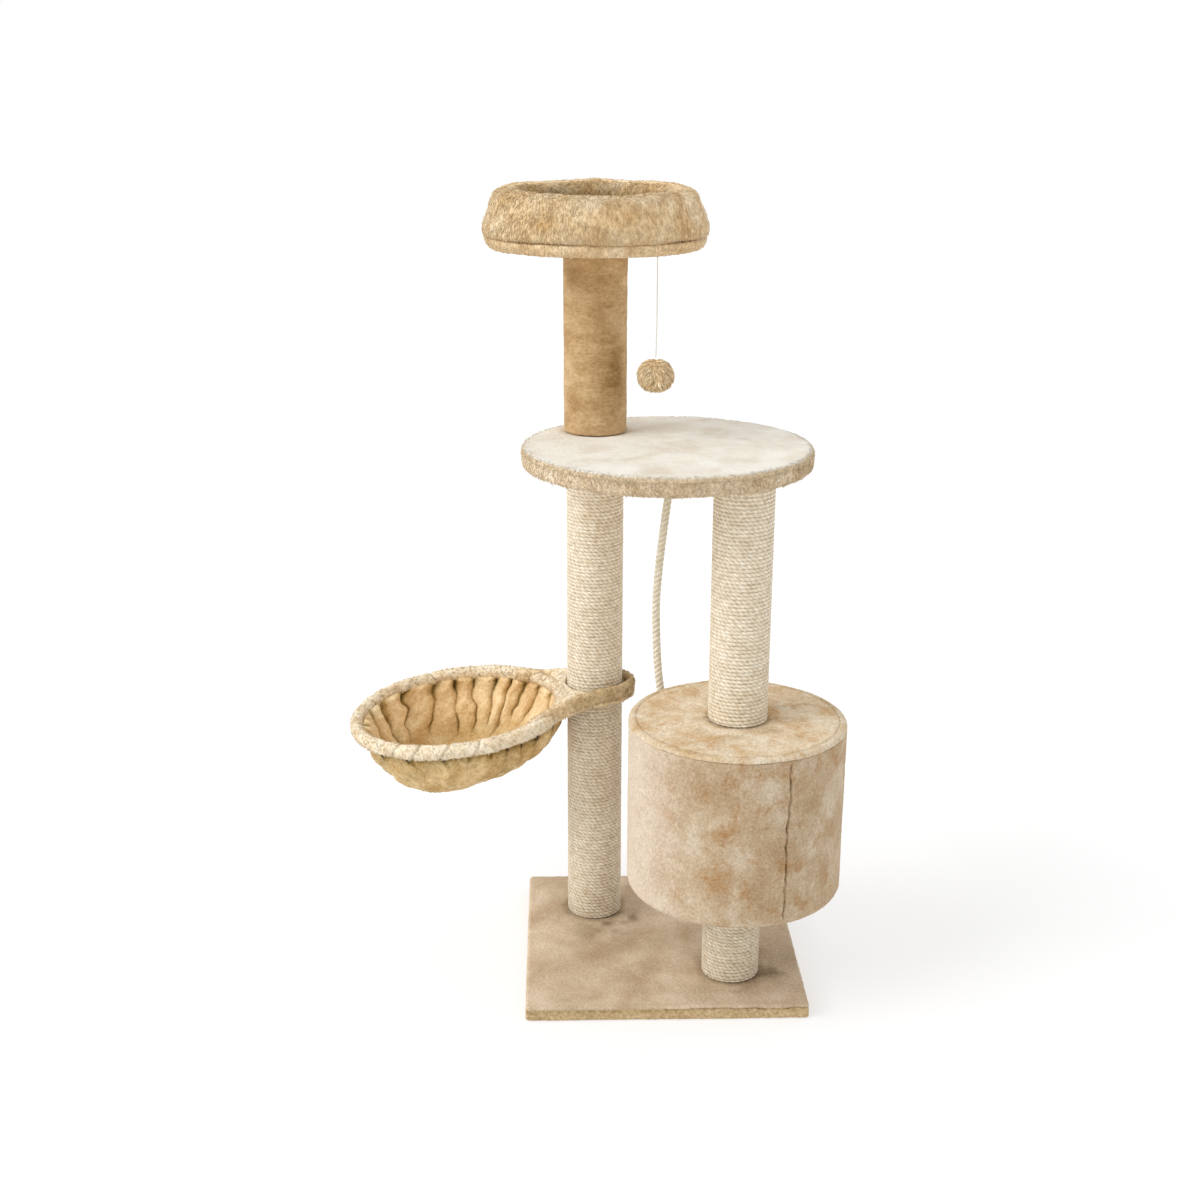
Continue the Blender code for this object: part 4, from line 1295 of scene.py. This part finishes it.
def from_post(points):
    """Points given out from, across and above the post's foot, turned to the hammock's heading."""
    turn = Matrix.Translation((LEFT[0], LEFT[1], 0.0)) @ OUTWARD
    return carried(np.asarray(points, float), turn)


def fuzzy(name, grid, mat, seed, count, tone):
    """A plush piece over rows that run across a padded band, with pile lying down it."""
    out = normals(grid)
    if (out * (grid - grid.mean(1, keepdims=True))).sum() < 0.0:
        grid = grid[::-1]
        out = -out[::-1]
    grid = pile(grid, out, 0.0009, seed) + out * (0.0009 * noise(grid, 0.014, seed + 2))[..., None]
    shade = tone_at(grid, tone)
    locks = nap(grid, out, count, seed=seed + 3, length=0.0040, width=0.0016, lift=0.22, curl=0.6,
                shade=shade)
    return grid_object(name, grid, mat, shade, caps=(True, True), locks=locks)


def tone_at(points, tone):
    """Shade of the hammock's plush: tone at the post, and paler towards the ring."""
    return tone + (0.12 - tone) * held((from_axis(points, LEFT) - 0.060) / 0.035)


def make_hammock_loop():
    """The plush band round the post, and the hem along its lower edge."""
    path = outline(from_post(LOOP_ROUTE))
    ahead = np.gradient(path, axis=0)
    out = direction(xyz(ahead[:, 1], -ahead[:, 0], 0.0))
    up = np.array((0.0, 0.0, 1.0))
    end = np.minimum(np.arange(len(path)), np.arange(len(path))[::-1]) * STEP
    slim = bump(end, 0.045)[:, None]
    waist = 1.0 + 0.06 * noise(path, 0.02, 141)[:, None]
    section = steps_round(44)
    across = np.sign(np.cos(section)) * np.abs(np.cos(section)) ** 0.75
    tall = np.sign(np.sin(section)) * np.abs(np.sin(section)) ** 0.75

    def band(half_t, half_h, middle):
        """Flattened tube round a middle line, given half its thickness and half its height."""
        return (middle[:, None] + (half_t * across)[..., None] * out[:, None]
                + (half_h * tall)[..., None] * up)

    tube = band(0.0056 + 0.0022 * slim, (0.0128 - 0.0036 * slim) * waist, path)
    loop = fuzzy("hammock_loop_plush", tube, LOOP_TAN, seed=140, count=5200, tone=-0.20)
    put(loop, "hammock", "tan_plush", "hammock_loop_sleeve")
    edge = band(0.0049, 0.0034 * waist, path - up * (0.0102 - 0.0068 * slim))
    hem = fuzzy("hammock_loop_hem", edge, LOOP_TAN, seed=150, count=2600, tone=0.08)
    put(hem, "hammock", "tan_plush")


def make_hammock_webs(place):
    """Folds of plush that fill the corners between the ring, the band and the post."""
    cols, rows = 70, 12
    share = np.linspace(0.0, 1.0, rows)[:, None, None]
    outward, across, _ = WEB_EDGE[0]
    webs = []
    for name, side, seed in (("front", 1.0, 170), ("back", -1.0, 160)):
        edge = from_post(resample(np.array(WEB_EDGE), cols) * np.array((1.0, side, 1.0)))
        first = math.atan2(side * across, outward - RING_OUT)
        ring = carried(polar(RING_R, np.linspace(first, side * math.pi, cols), 0.0), place)
        sheet = ring * (1.0 - share) + edge * share
        puff = 0.0065 * np.sin(math.pi * share) ** 0.5 + 0.0024
        rise = np.array((0.0, 0.0, 1.0)) * puff
        sag = np.array((0.0, 0.0, 0.002)) * np.sin(math.pi * share)
        grid = np.concatenate([sheet + sag + rise, (sheet + sag - rise)[::-1]]).transpose(1, 0, 2)
        web = fuzzy(f"hammock_web_{name}", grid, RIM_TAN, seed, count=1200, tone=-0.10)
        webs.append(put(web, "hammock", "tan_plush"))
    return webs


# --- CAD nodes that stay ---

def finish_plain_nodes():
    """Boards, tubes, plugs, bolts and wires keep their CAD shape and get a full material."""
    for name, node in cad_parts.items():
        if node.hide_render:
            continue
        if name.endswith("_core") or name == "drum_wall":
            mat = CARDBOARD
        elif "board" in name or "plug" in name:
            mat = CHIPBOARD
        else:
            mat = ZINC
        for material_slot in node.material_slots:
            material_slot.material = mat


make_camera()
make_stage()
make_pompom()
make_play_rope()
make_base()
# Painted shadow below the hammock's band and painted shade at the left post's foot; the short post's
# lower tone is painted shade under the house.
make_sisal("left_post_sisal", seed=200, tone=0.09, twisted=0.16,
           dim=((0.352, 0.028, 0.10), (0.020, 0.040, 0.12)))
make_sisal("short_post_sisal", seed=210, tone=-0.04, twisted=0.15)
make_sisal("right_post_sisal", seed=220, tone=0.08, twisted=0.13)
make_upper_post()
make_platform_top()
make_platform_edge()
make_drum()
make_bed()
ring_place = ring_frame()
make_hammock_rim(ring_place)
make_hammock_loop()
make_hammock_bag(ring_place, make_hammock_webs(ring_place))
finish_plain_nodes()

bpy.context.view_layer.update()
